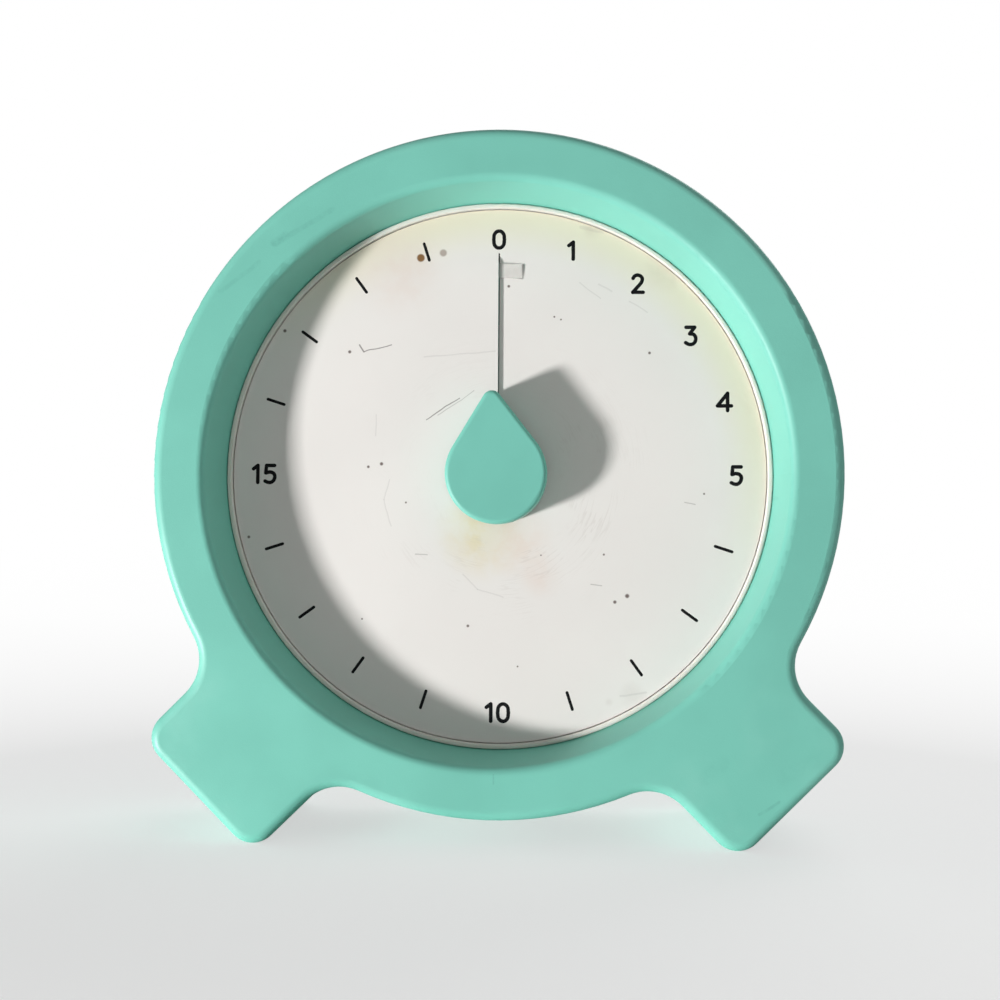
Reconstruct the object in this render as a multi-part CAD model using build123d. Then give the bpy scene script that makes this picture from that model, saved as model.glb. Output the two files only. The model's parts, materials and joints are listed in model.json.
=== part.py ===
from build123d import *
import os
from math import asin, atan2, cos, degrees, hypot, radians, sin

# A mechanical visual countdown timer. Turning the knob clockwise winds the movement and screws a
# coloured disc through a radial slit of the dial, so the shown sector is the time that is left.
#
# Every piece is modelled in the dial's own frame: X to the right, Y up the dial, Z out of the dial
# towards the user, with Z = 0 on the face of the dial. write_part() stands it on its feet:
# X right, Y into the depth (the dial looks along -Y), Z up, with the floor at Z = 0.

# ---- Housing, in mm ----
RING_RADIUS = 60.4          # outside of the round housing
CASE_DEPTH = 42.0           # front to back
FRONT_CASE_DEPTH = 24.0     # front to parting line
RECESS_DEPTH = 10.0         # ring front to dial face
CASE_WALL = 2.2
FRONT_EDGE_ROUND = 1.8
BACK_EDGE_ROUND = 4.0
PARTING_CHAMFER = 0.35
RING_FACE_WIDTH = 9.1       # outside of the housing to the mouth of the dial recess
WELL_SLOPE = 2.05           # the recess is this much narrower, in radius, at its foot
WELL_LIP_ROUND = 1.5
WELL_WALL = 2.0
FOOT_WIDTH = 28.35
FOOT_LENGTH = 16.6          # round housing to the end of a foot, along the foot
FOOT_ANGLE = 45.0           # below the horizontal
FOOT_DROP = 3.37            # foot centre line below the radial line
FOOT_CORNER_SHARE = 0.28    # rounds of a foot's corners and roots, as shares of its length
FOOT_ROOT_SHARE = 0.5
FOOT_RIB = 1.4
FOOT_BOSS_INSET = 11.0      # end of a foot to the middle of its screw boss
TONGUE_WIDTH = 1.2          # rear case tongue inside the front case wall
TONGUE_HEIGHT = 1.5
SOUND_SLOT_LENGTH = 22.0
SOUND_SLOT_WIDTH = 2.0
SOUND_SLOT_SPACING = 4.5
SOUND_SLOT_COUNT = 5

# ---- Dial, rim ring and time disc ----
RIM_RING_WIDTH = 1.05       # recess wall to the face of the dial
DIAL_BORDER_WIDTH = 7.9     # flat border round the slit, where the figures are
DIAL_THICKNESS = 1.5
DIAL_FLANGE_WIDTH = 3.3
DIAL_FLANGE_THICKNESS = 1.8
DIAL_FLANGE_OVERLAP = 1.2   # flange under the face of the dial
DIAL_LEDGE_DEPTH = 1.2      # face of the dial to the ledge that holds its flange
DIAL_HOLE_RADIUS = 6.3
SHEET_THICKNESS = 0.30      # spiral part of the dial
SPIRAL_STEP = 0.6           # rise of the spiral over one turn, at the slit
SPIRAL_BLEND = 1.8          # width over which the spiral eases into the flat border
SPIRAL_BLEND_RINGS = 4
SPIRAL_END_ANGLE = 0.1      # degrees from the zero line to each end of the spiral
SLIT_WIDTH = 0.16
RIM_RING_HEIGHT = 0.8       # above the face of the dial
RIM_RING_ROUND = 0.25
RIM_RING_GAP = 0.15         # groove between the ring and the dial's face
RETAINER_WIDTH = 4.0
RETAINER_THICKNESS = 2.0
RETAINER_CHAMFER = 0.4
RETAINER_REVEAL = 1.0       # back of the retaining ring to the end of the recess wall
DISC_MARGIN = 1.8           # disc to the dial's flat border
DISC_THICKNESS = 0.14
DISC_START = 4.0            # degrees of the turn left open at the disc's lower end
TAB_WIDTH = 2.7
TAB_ANGLE = 6.7
HUB_RADIUS = 5.5
HUB_LENGTH = 2.8
HUB_FRONT = 0.6             # above the face of the dial when the disc is hidden

# ---- Knob ----
KNOB_RADIUS = 9.0
KNOB_TIP_REACH = 14.6       # axis to the point
KNOB_TIP_RADIUS = 1.7
KNOB_FRONT = 7.3            # above the face of the dial
KNOB_UNDERSIDE = 1.4
KNOB_EDGE_ROUND = 0.8
KNOB_LEAN = 3.4             # degrees short of the zero mark when run down
KNOB_RECESS_RADIUS = 6.3
KNOB_RECESS_DEPTH = 1.3
KNOB_BORE_CEILING = 1.6

# ---- Movement ----
MODULE = 0.5                # of the wheel train
GREAT_TEETH = 60
SECOND_PINION_TEETH = 10
SECOND_TEETH = 48
THIRD_PINION_TEETH = 8
THIRD_TEETH = 42
ESCAPE_PINION_TEETH = 7
ESCAPE_TEETH = 15
ESCAPE_RADIUS = 6.0
ESCAPE_TOOTH_DEPTH = 1.7
ESCAPE_ROOT_SHARE = 0.44    # of the tooth pitch, at the root and at the tip
ESCAPE_TIP_SHARE = 0.12
ESCAPE_HUB_RADIUS = 1.8
ESCAPE_RIM = 0.8
RATCHET_TEETH = 18
RATCHET_RADIUS = 6.4
RATCHET_TOOTH_DEPTH = 0.9
RATCHET_UNDERCUT = 1.5      # degrees the steep side of a ratchet tooth leans
FRONT_PLATE_Z = -5.0
PLATE_THICKNESS = 1.2
PLATE_GAP = 12.4
PLATE_RADIUS = 36.0
SCALLOP_RADIUS = 10.0       # cut-outs in the plates between the pillars
SCALLOP_OFFSET = 2.0        # their centres beyond the plate's edge
PILLAR_RADIUS = 1.9
PILLAR_CIRCLE_RADIUS = 33.0
PILLAR_ANGLES = (45, 135, 225, 315)
SECOND_ANGLE = 225.0        # main arbor to second arbor
THIRD_ANGLE = 300.0         # second arbor to third arbor
ESCAPE_ANGLE = 10.0         # third arbor to escape arbor
PALLET_ANGLE = 30.0         # escape arbor to pallet arbor
PALLET_DISTANCE = 8.5
PALLET_PIN_RADIUS = 0.25
PALLET_PIN_CLEARANCE = 0.10
PALLET_SPAN = 3             # teeth between the two pins
INERTIA_BAR_LENGTH = 12.0
INERTIA_BAR_WIDTH = 2.2
WHEEL_THICKNESS = 0.8
WHEEL_HUB_RADIUS = 2.9
WHEEL_RIM = 2.2             # pitch circle to the inside of the rim
WHEEL_SPOKES = 4
ESCAPE_SPOKES = 3
GREAT_THICKNESS = 1.0
SECOND_WHEEL_GAP = 0.6      # front plate to the second wheel
GREAT_WHEEL_GAP = 1.0       # second wheel to the great wheel
THIRD_WHEEL_GAP = 0.8       # ratchet to the third wheel, and to the mainspring
ESCAPE_WHEEL_GAP = 1.6      # third wheel to the escape wheel
PALLET_GAP = 0.3            # escape wheel to the pallet lever
INERTIA_BAR_GAP = 0.5       # pallet lever to the bar
CAM_GAP = 0.4               # mainspring to the trip cam
PINION_LENGTH = 1.6
PINION_OVERHANG = 0.4       # pinion front to the front of the wheel that drives it
CLICK_ANGLE = 40.0          # the ratchet tooth that the click stands at
CLICK_PIVOT_REACH = 9.6
CLICK_HUB_RADIUS = 1.4
CLICK_PIVOT_TURN = 25.0     # degrees from the click's nose to its pivot
CLICK_NOSE_TURN = 3.0       # degrees from the tooth to the nose's inner corner
CLICK_TIP_TURN = 2.0        # and to its outer corner
CLICK_NOSE_DEPTH = 1.4
CLICK_CLEARANCE = 0.1
CLICK_SPRING_TURN = 22.0    # degrees from the tooth to the free end of the click's spring
CLICK_SPRING_SWEEP = 48.0
CLICK_POST_RADIUS = 0.9
PALLET_HUB_RADIUS = 1.8
PALLET_NOSE_RADIUS = 0.7
SPRING_POST_RADIUS = 0.8
MAIN_ARBOR_RADIUS = 2.0
MAIN_ARBOR_FLAT = 1.5       # axis to the flat that drives the knob and the disc hub
MAIN_HUB_RADIUS = 2.7
MAIN_PIVOT_RADIUS = 1.5
ARBOR_RADIUS = 0.9
PIVOT_RADIUS = 0.5
RUNNING_CLEARANCE = 0.05    # radial, pivots in plates and bores that turn or slide
END_SHAKE = 0.1
SPRING_INNER_RADIUS = 3.2
SPRING_STEP = 0.9
SPRING_HALF_TURNS = 10
SPRING_LEAF = 0.35
SPRING_HEIGHT = 4.6
CAM_RADIUS = 4.6
CAM_NOTCH = 0.8

# ---- Bell and hammer, behind the rear plate ----
BELL_X = 5.0
BELL_Y = 12.0
BELL_RADIUS = 16.0
BELL_WALL = 0.8
BELL_CROWN_SHARE = 0.45     # of the bell's height that its crown is rounded over
BELL_CLEARANCE = 1.0        # rear plate to bell rim
BELL_BACK_ROOM = 2.4        # bell crown to the inside of the case back
BELL_STUD_RADIUS = 1.5
BELL_STUD_SHOULDER = 2.5
BELL_NUT_RADIUS = 2.7
BELL_NUT_THICKNESS = 1.4
HAMMER_X = -17.0
HAMMER_Y = 4.0
HAMMER_ANGLE = 150.0        # where the head meets the bell, about the bell's centre
HAMMER_GAP = 0.4            # head to bell at rest
HAMMER_HEAD_RADIUS = 2.2
HAMMER_HEAD_SHARE = 0.30    # length of the head, as a share of the bell's height
HAMMER_HEAD_CHAMFER = 0.3
HAMMER_ARM_SHARE = 0.36     # place of the arm down the bell's height
HAMMER_ARM_WIDTH = 2.4
HAMMER_ARM_THICKNESS = 1.0
HAMMER_HUB_RADIUS = 2.0
TRIP_LEVER_WIDTH = 1.6
TRIP_HUB_RADIUS = 1.7
TRIP_CLEARANCE = 0.15       # trip lever to cam
HAMMER_SPRING_WIRE = 0.25   # wire radius
HAMMER_SPRING_COILS = 4
HAMMER_SPRING_PITCH = 0.40  # coil to coil
HAMMER_SPRING_LEG = 7.0
HAMMER_SPRING_LEG_WIRE = 0.225
HAMMER_SPRING_CLEARANCE = 0.3

# ---- Screws ----
SCREW_RADIUS = 1.2
SCREW_HEAD_RADIUS = 2.1
SCREW_HEAD_HEIGHT = 1.6
SCREW_CLEARANCE = 0.1
SCREW_RECESS = 4.0          # case back to the seat of a screw head
SCREW_GRIP = 8.0            # length of thread in the front case
SCREW_END_ROOM = 0.5        # from the end of a screw to the bottom of its hole
BOSS_RADIUS = 2.9
PLATE_BOSS_RADIUS = 3.2
MOVEMENT_SCREW_GRIP = 4.0
PILLAR_NUT_RADIUS = 2.4
PILLAR_NUT_THICKNESS = 1.2
DRIVE_SLOT = 0.5

# ---- Places that follow from the sizes above ----
FRONT_Z = RECESS_DEPTH
BACK_Z = FRONT_Z - CASE_DEPTH
PARTING_Z = FRONT_Z - FRONT_CASE_DEPTH
FOOT_REACH = RING_RADIUS + FOOT_LENGTH
FOOT_CORNER_ROUND = FOOT_CORNER_SHARE * FOOT_LENGTH
FOOT_ROOT_ROUND = FOOT_ROOT_SHARE * FOOT_LENGTH
WELL_LIP_RADIUS = RING_RADIUS - RING_FACE_WIDTH
WELL_FOOT_RADIUS = WELL_LIP_RADIUS - WELL_SLOPE
DIAL_RADIUS = WELL_FOOT_RADIUS - RIM_RING_WIDTH
BORDER_RADIUS = DIAL_RADIUS - DIAL_BORDER_WIDTH
SPIRAL_RADIUS = BORDER_RADIUS - SPIRAL_BLEND
DISC_RADIUS = BORDER_RADIUS - DISC_MARGIN
TAB_INNER_RADIUS = DISC_RADIUS - TAB_WIDTH
LEDGE_RADIUS = DIAL_RADIUS + DIAL_FLANGE_WIDTH + RUNNING_CLEARANCE
LEDGE_Z = -DIAL_LEDGE_DEPTH
FLANGE_BACK_Z = LEDGE_Z - DIAL_FLANGE_THICKNESS
WELL_BACK_Z = FLANGE_BACK_Z - RETAINER_THICKNESS - RETAINER_REVEAL
WELL_OUTER_RADIUS = LEDGE_RADIUS + WELL_WALL
PLATE_BACK_Z = FRONT_PLATE_Z - PLATE_THICKNESS
REAR_PLATE_Z = PLATE_BACK_Z - PLATE_GAP
REAR_PLATE_BACK_Z = REAR_PLATE_Z - PLATE_THICKNESS
SECOND_WHEEL_Z = PLATE_BACK_Z - SECOND_WHEEL_GAP
GREAT_WHEEL_Z = SECOND_WHEEL_Z - WHEEL_THICKNESS - GREAT_WHEEL_GAP
RATCHET_Z = GREAT_WHEEL_Z - GREAT_THICKNESS
THIRD_WHEEL_Z = RATCHET_Z - GREAT_THICKNESS - THIRD_WHEEL_GAP
ESCAPE_WHEEL_Z = THIRD_WHEEL_Z - WHEEL_THICKNESS - ESCAPE_WHEEL_GAP
SPRING_Z = THIRD_WHEEL_Z
CAM_Z = SPRING_Z - SPRING_HEIGHT - CAM_GAP
PALLET_Z = ESCAPE_WHEEL_Z - WHEEL_THICKNESS - PALLET_GAP
INERTIA_BAR_Z = PALLET_Z - WHEEL_THICKNESS - INERTIA_BAR_GAP
BELL_RIM_Z = REAR_PLATE_BACK_Z - BELL_CLEARANCE
BELL_CROWN_Z = BACK_Z + CASE_WALL + BELL_BACK_ROOM
BELL_HEIGHT = BELL_RIM_Z - BELL_CROWN_Z
BELL_CROWN_ROUND = BELL_CROWN_SHARE * BELL_HEIGHT
BELL_CENTRE = (BELL_X, BELL_Y)
HAMMER_PIVOT = (HAMMER_X, HAMMER_Y)
HAMMER_ARM_Z = BELL_RIM_Z - HAMMER_ARM_SHARE * BELL_HEIGHT
HAMMER_HEAD_LENGTH = HAMMER_HEAD_SHARE * BELL_HEIGHT
SHEET_LEVEL = -SHEET_THICKNESS / 2
# The lowest point of the rounded foot corner sets how high the dial's axis stands.
FOOT_LOW_SIDE = FOOT_DROP + FOOT_WIDTH / 2
AXIS_HEIGHT = (
    FOOT_REACH * sin(radians(FOOT_ANGLE))
    + FOOT_LOW_SIDE * cos(radians(FOOT_ANGLE))
    - FOOT_CORNER_ROUND * (sin(radians(FOOT_ANGLE)) + cos(radians(FOOT_ANGLE)) - 1)
)
DIAL_PLANE = Plane(
    origin=(0, RECESS_DEPTH - CASE_DEPTH / 2, AXIS_HEIGHT),
    x_dir=(1, 0, 0),
    z_dir=(0, -1, 0),
)


def polar(distance, angle, centre=(0.0, 0.0)):
    """The point at a distance and an angle in degrees from a centre."""
    return (
        centre[0] + distance * cos(radians(angle)),
        centre[1] + distance * sin(radians(angle)),
    )


def mesh_distance(teeth, mating_teeth):
    return MODULE * (teeth + mating_teeth) / 2


SECOND_AXIS = polar(mesh_distance(GREAT_TEETH, SECOND_PINION_TEETH), SECOND_ANGLE)
THIRD_AXIS = polar(
    mesh_distance(SECOND_TEETH, THIRD_PINION_TEETH), THIRD_ANGLE, SECOND_AXIS
)
ESCAPE_AXIS = polar(
    mesh_distance(THIRD_TEETH, ESCAPE_PINION_TEETH), ESCAPE_ANGLE, THIRD_AXIS
)
PALLET_AXIS = polar(PALLET_DISTANCE, PALLET_ANGLE, ESCAPE_AXIS)
HAMMER_HEAD_POINT = polar(
    BELL_RADIUS + HAMMER_GAP + HAMMER_HEAD_RADIUS, HAMMER_ANGLE, BELL_CENTRE
)
PILLAR_POINTS = [polar(PILLAR_CIRCLE_RADIUS, angle) for angle in PILLAR_ANGLES]
UPPER_BOSS_CIRCLE = (WELL_OUTER_RADIUS + RING_RADIUS - CASE_WALL) / 2
FOOT_BOSS_REACH = FOOT_REACH - FOOT_BOSS_INSET
FOOT_BOSS_X, FOOT_BOSS_Y = polar(
    FOOT_DROP, -FOOT_ANGLE - 90, polar(FOOT_BOSS_REACH, -FOOT_ANGLE)
)
CASE_SCREW_POINTS = [
    polar(UPPER_BOSS_CIRCLE, 45),
    polar(UPPER_BOSS_CIRCLE, 135),
    (FOOT_BOSS_X, FOOT_BOSS_Y),
    (-FOOT_BOSS_X, FOOT_BOSS_Y),
]


# ---- Shared shapes ----


def write_part(name, shape):
    """Stand a piece of the dial's frame on the floor and write it."""
    placed = DIAL_PLANE.location * shape
    placed.label = name
    export_step(placed, f"parts/{name}.step")


def slab(profile, front, thickness):
    """A flat profile given thickness, from its front face backwards."""
    return Pos(0, 0, front) * extrude(profile, amount=-thickness)


def rod(radius, front, back, centre=(0.0, 0.0)):
    """A round rod from its front face to its back face."""
    return Pos(*centre) * slab(Circle(radius), front, front - back)


def ring(outer, inner, front, thickness, centre=(0.0, 0.0)):
    return Pos(*centre) * slab(Circle(outer) - Circle(inner), front, thickness)


def turned(points):
    """A round piece from its half profile, given as (radius, z) points."""
    return revolve(Plane.XZ * make_face(Polyline(*points, close=True)), Axis.Z)


def stepped_arbor(steps, centre=(0.0, 0.0)):
    """A turned arbor from (radius, front, back) steps that follow one another."""
    points = [(0, steps[0][1])]
    for radius, front, back in steps:
        points += [(radius, front), (radius, back)]
    points.append((0, steps[-1][2]))
    return Pos(*centre) * turned(points)


def tooth_points(teeth, levels, phase=0.0):
    """Points round a toothed wheel. Each level is (radius, share of the pitch that the tooth
    is thick there), from the root to the tip."""
    points = []
    for index in range(teeth):
        middle = phase + 360.0 / teeth * index
        sides = [(r, -share / 2) for r, share in levels]
        sides += [(r, share / 2) for r, share in reversed(levels)]
        points += [polar(r, middle + share * 360.0 / teeth) for r, share in sides]
    return points


def wheel_profile(teeth, phase):
    """A train wheel: radial flanks below the pitch circle and pointed, clock-style tips."""
    pitch_radius = MODULE * teeth / 2
    levels = [
        (pitch_radius - 1.3 * MODULE, 0.46),
        (pitch_radius, 0.42),
        (pitch_radius + 0.55 * MODULE, 0.30),
        (pitch_radius + 0.9 * MODULE, 0.12),
    ]
    return make_face(Polyline(*tooth_points(teeth, levels, phase), close=True))


def pinion_profile(teeth, phase):
    """A pinion: thin leaves with radial flanks and short rounded tips."""
    pitch_radius = MODULE * teeth / 2
    levels = [
        (pitch_radius - 1.35 * MODULE, 0.38),
        (pitch_radius, 0.34),
        (pitch_radius + 0.45 * MODULE, 0.18),
    ]
    return make_face(Polyline(*tooth_points(teeth, levels, phase), close=True))


def spoked(profile, bore, hub, rim, spokes):
    """A wheel profile with its bore and the windows between its spokes."""
    windows = Circle(rim) - Circle(hub)
    for index in range(spokes):
        windows -= Rot(0, 0, 360 / spokes * index) * Pos(rim / 2, 0) * Rectangle(rim, hub * 0.7)
    return profile - windows - Circle(bore)


# ---- Housing ----


def foot_outline():
    foot = Pos(FOOT_REACH / 2, -FOOT_DROP) * Rectangle(FOOT_REACH, FOOT_WIDTH)
    right = Rot(0, 0, -FOOT_ANGLE) * foot
    return right, mirror(right, about=Plane.YZ)


def is_foot_end(vertex):
    return hypot(vertex.X, vertex.Y) > FOOT_REACH - 0.1


def is_foot_root(vertex):
    on_ring = abs(hypot(vertex.X, vertex.Y) - RING_RADIUS) < 0.01
    return on_ring and vertex.Y < 0 and abs(vertex.X) > 1


def foot_ribs():
    """A cross rib through the screw boss of each foot."""
    rib = Pos(FOOT_BOSS_REACH, -FOOT_DROP) * Rectangle(FOOT_RIB, FOOT_WIDTH - CASE_WALL)
    right = Rot(0, 0, -FOOT_ANGLE) * rib
    return right + mirror(right, about=Plane.YZ)


def case_outline():
    """The ring and its two feet as one outline."""
    right, left = foot_outline()
    outline = Circle(RING_RADIUS) + right + left
    outline = fillet(outline.vertices().filter_by(is_foot_end), FOOT_CORNER_ROUND)
    return fillet(outline.vertices().filter_by(is_foot_root), FOOT_ROOT_ROUND)


def front_case():
    outline = case_outline()
    inner = offset(outline, amount=-CASE_WALL)
    shell = slab(outline, FRONT_Z, FRONT_CASE_DEPTH)
    shell = fillet(shell.faces().sort_by(Axis.Z)[-1].outer_wire().edges(), FRONT_EDGE_ROUND)
    shell = chamfer(shell.faces().sort_by(Axis.Z)[0].outer_wire().edges(), PARTING_CHAMFER)
    shell -= slab(inner, FRONT_Z - CASE_WALL, FRONT_CASE_DEPTH)
    well = rod(WELL_OUTER_RADIUS, FRONT_Z - CASE_WALL / 2, WELL_BACK_Z)
    shell += well
    shell += slab(foot_ribs(), FRONT_Z - CASE_WALL / 2, FRONT_CASE_DEPTH - CASE_WALL - TONGUE_HEIGHT)
    for point in CASE_SCREW_POINTS:
        shell += rod(BOSS_RADIUS, FRONT_Z - CASE_WALL / 2, PARTING_Z, point)
    mouth = turned(
        [
            (0, FRONT_Z + 1),
            (WELL_LIP_RADIUS, FRONT_Z + 1),
            (WELL_LIP_RADIUS, FRONT_Z),
            (WELL_FOOT_RADIUS, 0),
            (WELL_FOOT_RADIUS, LEDGE_Z),
            (LEDGE_RADIUS, LEDGE_Z),
            (LEDGE_RADIUS, WELL_BACK_Z - 1),
            (0, WELL_BACK_Z - 1),
        ]
    )
    shell -= mouth
    lip = shell.edges().filter_by(GeomType.CIRCLE).filter_by(
        lambda e: abs(e.radius - WELL_LIP_RADIUS) < 0.01 and abs(e.center().Z - FRONT_Z) < 0.01
    )
    shell = fillet(lip, WELL_LIP_ROUND)
    for point in CASE_SCREW_POINTS:
        hole_end = PARTING_Z + SCREW_GRIP + SCREW_END_ROOM
        shell -= rod(SCREW_RADIUS + RUNNING_CLEARANCE, hole_end, PARTING_Z - 1, point)
    return shell


def rear_case():
    outline = case_outline()
    tongue_outer = offset(outline, amount=-CASE_WALL - SCREW_CLEARANCE)
    tongue_inner = offset(outline, amount=-CASE_WALL - SCREW_CLEARANCE - TONGUE_WIDTH)
    depth = CASE_DEPTH - FRONT_CASE_DEPTH
    shell = slab(outline, PARTING_Z, depth)
    shell = fillet(shell.faces().sort_by(Axis.Z)[0].outer_wire().edges(), BACK_EDGE_ROUND)
    shell = chamfer(shell.faces().sort_by(Axis.Z)[-1].outer_wire().edges(), PARTING_CHAMFER)
    shell -= slab(tongue_inner, PARTING_Z + 1, depth + 1 - CASE_WALL)
    tongue = slab(tongue_outer - tongue_inner, PARTING_Z + TONGUE_HEIGHT, TONGUE_HEIGHT + 1)
    for point in CASE_SCREW_POINTS:
        tongue -= rod(BOSS_RADIUS + SCREW_CLEARANCE, 0, PARTING_Z, point)
    shell += tongue
    shell += slab(foot_ribs(), PARTING_Z, depth - CASE_WALL / 2)
    for point in CASE_SCREW_POINTS:
        shell += rod(BOSS_RADIUS, PARTING_Z, BACK_Z + CASE_WALL / 2, point)
        shell -= rod(SCREW_RADIUS + SCREW_CLEARANCE, PARTING_Z + 1, BACK_Z - 1, point)
        shell -= rod(SCREW_HEAD_RADIUS + SCREW_CLEARANCE, BACK_Z + SCREW_RECESS, BACK_Z - 1, point)
    for point in PILLAR_POINTS:
        shell += rod(PLATE_BOSS_RADIUS, REAR_PLATE_BACK_Z, BACK_Z + CASE_WALL / 2, point)
        shell -= rod(SCREW_RADIUS + SCREW_CLEARANCE, REAR_PLATE_BACK_Z + 1, BACK_Z - 1, point)
        shell -= rod(SCREW_HEAD_RADIUS + SCREW_CLEARANCE, BACK_Z + SCREW_RECESS, BACK_Z - 1, point)
    slot = SlotOverall(SOUND_SLOT_LENGTH, SOUND_SLOT_WIDTH)
    for index in range(SOUND_SLOT_COUNT):
        rise = (index - (SOUND_SLOT_COUNT - 1) / 2) * SOUND_SLOT_SPACING
        place = Pos(BELL_CENTRE[0], BELL_CENTRE[1] + rise)
        shell -= place * slab(slot, BACK_Z + CASE_WALL + 1, CASE_WALL + 2)
    return shell


def screws(points, seat, tip):
    """Round-headed screws put in from the back, with a drive slot across each head."""
    group = []
    for point in points:
        screw = rod(SCREW_RADIUS, tip, seat, point)
        head = rod(SCREW_HEAD_RADIUS, seat, seat - SCREW_HEAD_HEIGHT, point)
        head = fillet(head.edges().sort_by(Axis.Z)[0], SCREW_HEAD_HEIGHT / 2)
        drive = Box(2 * SCREW_HEAD_RADIUS + 1, DRIVE_SLOT, 2 * DRIVE_SLOT)
        group.append(screw + head - Pos(*point, seat - SCREW_HEAD_HEIGHT) * drive)
    return Compound(children=group)


# ---- Dial and time disc ----


def spiral_edge(radius, start, sweep, level):
    """A curve on the dial's spiral. It starts `start` degrees clockwise of 12 o'clock, at the
    height `level`, and rises clockwise."""
    turn = Edge.make_helix(SPIRAL_STEP, SPIRAL_STEP * sweep / 360, radius, lefthand=True)
    return Pos(0, 0, level) * Rot(0, 0, 90 - start) * turn


def spiral_sheet(inner, outer, start, sweep, level, thickness):
    """A sheet that climbs clockwise round the axis. `level` is its middle at the start."""
    low = level - thickness / 2
    face = Face.make_surface_from_curves(
        spiral_edge(inner, start, sweep, low), spiral_edge(outer, start, sweep, low)
    )
    return extrude(face, amount=thickness, dir=(0, 0, 1))


def blended_edge(share, sweep):
    """A curve of the blend between the spiral and the flat border: at the spiral where `share`
    is 0 and level with the border where it is 1."""
    radius = SPIRAL_RADIUS + SPIRAL_BLEND * share
    rise = SPIRAL_STEP * (1 - share * share * (3 - 2 * share))
    if rise == 0:
        level_arc = Edge.make_circle(
            radius,
            start_angle=90 - SPIRAL_END_ANGLE,
            end_angle=90 - SPIRAL_END_ANGLE - sweep,
            angular_direction=AngularDirection.CLOCKWISE,
        )
        return Pos(0, 0, -SHEET_THICKNESS) * level_arc
    turn = Edge.make_helix(rise, rise * sweep / 360, radius, lefthand=True)
    low = -SHEET_THICKNESS - rise * sweep / 360 / 2
    return Pos(0, 0, low) * Rot(0, 0, 90 - SPIRAL_END_ANGLE) * turn


def dial():
    """The white dial: a flat border, and a one-turn spiral sheet inside it whose ends stand one
    above the other at the slit, with the left end in front."""
    sweep = 360 - 2 * SPIRAL_END_ANGLE
    level = SHEET_LEVEL - SPIRAL_STEP * sweep / 360 / 2
    sheet = spiral_sheet(
        DIAL_HOLE_RADIUS, SPIRAL_RADIUS, SPIRAL_END_ANGLE, sweep, level, SHEET_THICKNESS
    )
    for index in range(SPIRAL_BLEND_RINGS):
        inner = blended_edge(index / SPIRAL_BLEND_RINGS, sweep)
        outer = blended_edge((index + 1) / SPIRAL_BLEND_RINGS, sweep)
        blend_face = Face.make_surface_from_curves(inner, outer)
        sheet += extrude(blend_face, amount=SHEET_THICKNESS, dir=(0, 0, 1))
    border = ring(DIAL_RADIUS, BORDER_RADIUS, 0, DIAL_THICKNESS)
    flange = ring(
        DIAL_RADIUS + DIAL_FLANGE_WIDTH,
        DIAL_RADIUS - DIAL_FLANGE_OVERLAP,
        LEDGE_Z,
        DIAL_FLANGE_THICKNESS,
    )
    slit_inner = DIAL_HOLE_RADIUS / 2
    slit_outer = BORDER_RADIUS - SLIT_WIDTH / 2
    slit = Pos(SLIT_WIDTH / 2, (slit_inner + slit_outer) / 2) * Rectangle(
        SLIT_WIDTH, slit_outer - slit_inner
    ) + Pos(SLIT_WIDTH / 2, slit_outer) * Circle(SLIT_WIDTH / 2)
    return sheet + border + flange - slab(slit, 2, 3)


def rim_ring():
    """The thin white ring at the foot of the recess wall."""
    outer = WELL_FOOT_RADIUS
    inner = DIAL_RADIUS + RIM_RING_GAP
    piece = ring(outer, inner, RIM_RING_HEIGHT, RIM_RING_HEIGHT + DIAL_LEDGE_DEPTH)
    return fillet(piece.edges().group_by(Axis.Z)[-1], RIM_RING_ROUND)


def dial_retaining_ring():
    piece = ring(LEDGE_RADIUS, LEDGE_RADIUS - RETAINER_WIDTH, FLANGE_BACK_Z, RETAINER_THICKNESS)
    return chamfer(piece.edges().group_by(Axis.Z)[0], RETAINER_CHAMFER)


def time_disc():
    """The coloured disc: one turn of a spiral sheet, screwed forward by its hub as it turns."""
    level = SHEET_LEVEL - SPIRAL_STEP + SPIRAL_STEP * DISC_START / 360
    return spiral_sheet(
        HUB_RADIUS, DISC_RADIUS, DISC_START, 360 - DISC_START, level, DISC_THICKNESS
    )


def lead_tab():
    """The clear tab on the disc's leading edge, always in front of the dial."""
    return spiral_sheet(
        TAB_INNER_RADIUS, DISC_RADIUS, 0, TAB_ANGLE, SHEET_LEVEL, DISC_THICKNESS
    )


def flatted(radius, flat):
    """A round shaft section with one flat on its upper side."""
    return Circle(radius) - Pos(0, flat + radius) * Rectangle(4 * radius, 2 * radius)


def disc_hub():
    bore = flatted(MAIN_ARBOR_RADIUS + RUNNING_CLEARANCE, MAIN_ARBOR_FLAT + RUNNING_CLEARANCE)
    return slab(Circle(HUB_RADIUS) - bore, HUB_FRONT, HUB_LENGTH)


# ---- Knob ----


def teardrop(radius, tip_radius, tip_reach):
    """Two circles of different size and the two lines that touch both."""
    distance = tip_reach - tip_radius
    slope = asin((radius - tip_radius) / distance)
    sides = Polyline(
        (radius * cos(slope), radius * sin(slope)),
        (tip_radius * cos(slope), distance + tip_radius * sin(slope)),
        (-tip_radius * cos(slope), distance + tip_radius * sin(slope)),
        (-radius * cos(slope), radius * sin(slope)),
        close=True,
    )
    return make_face(sides) + Circle(radius) + Pos(0, distance) * Circle(tip_radius)


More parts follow.
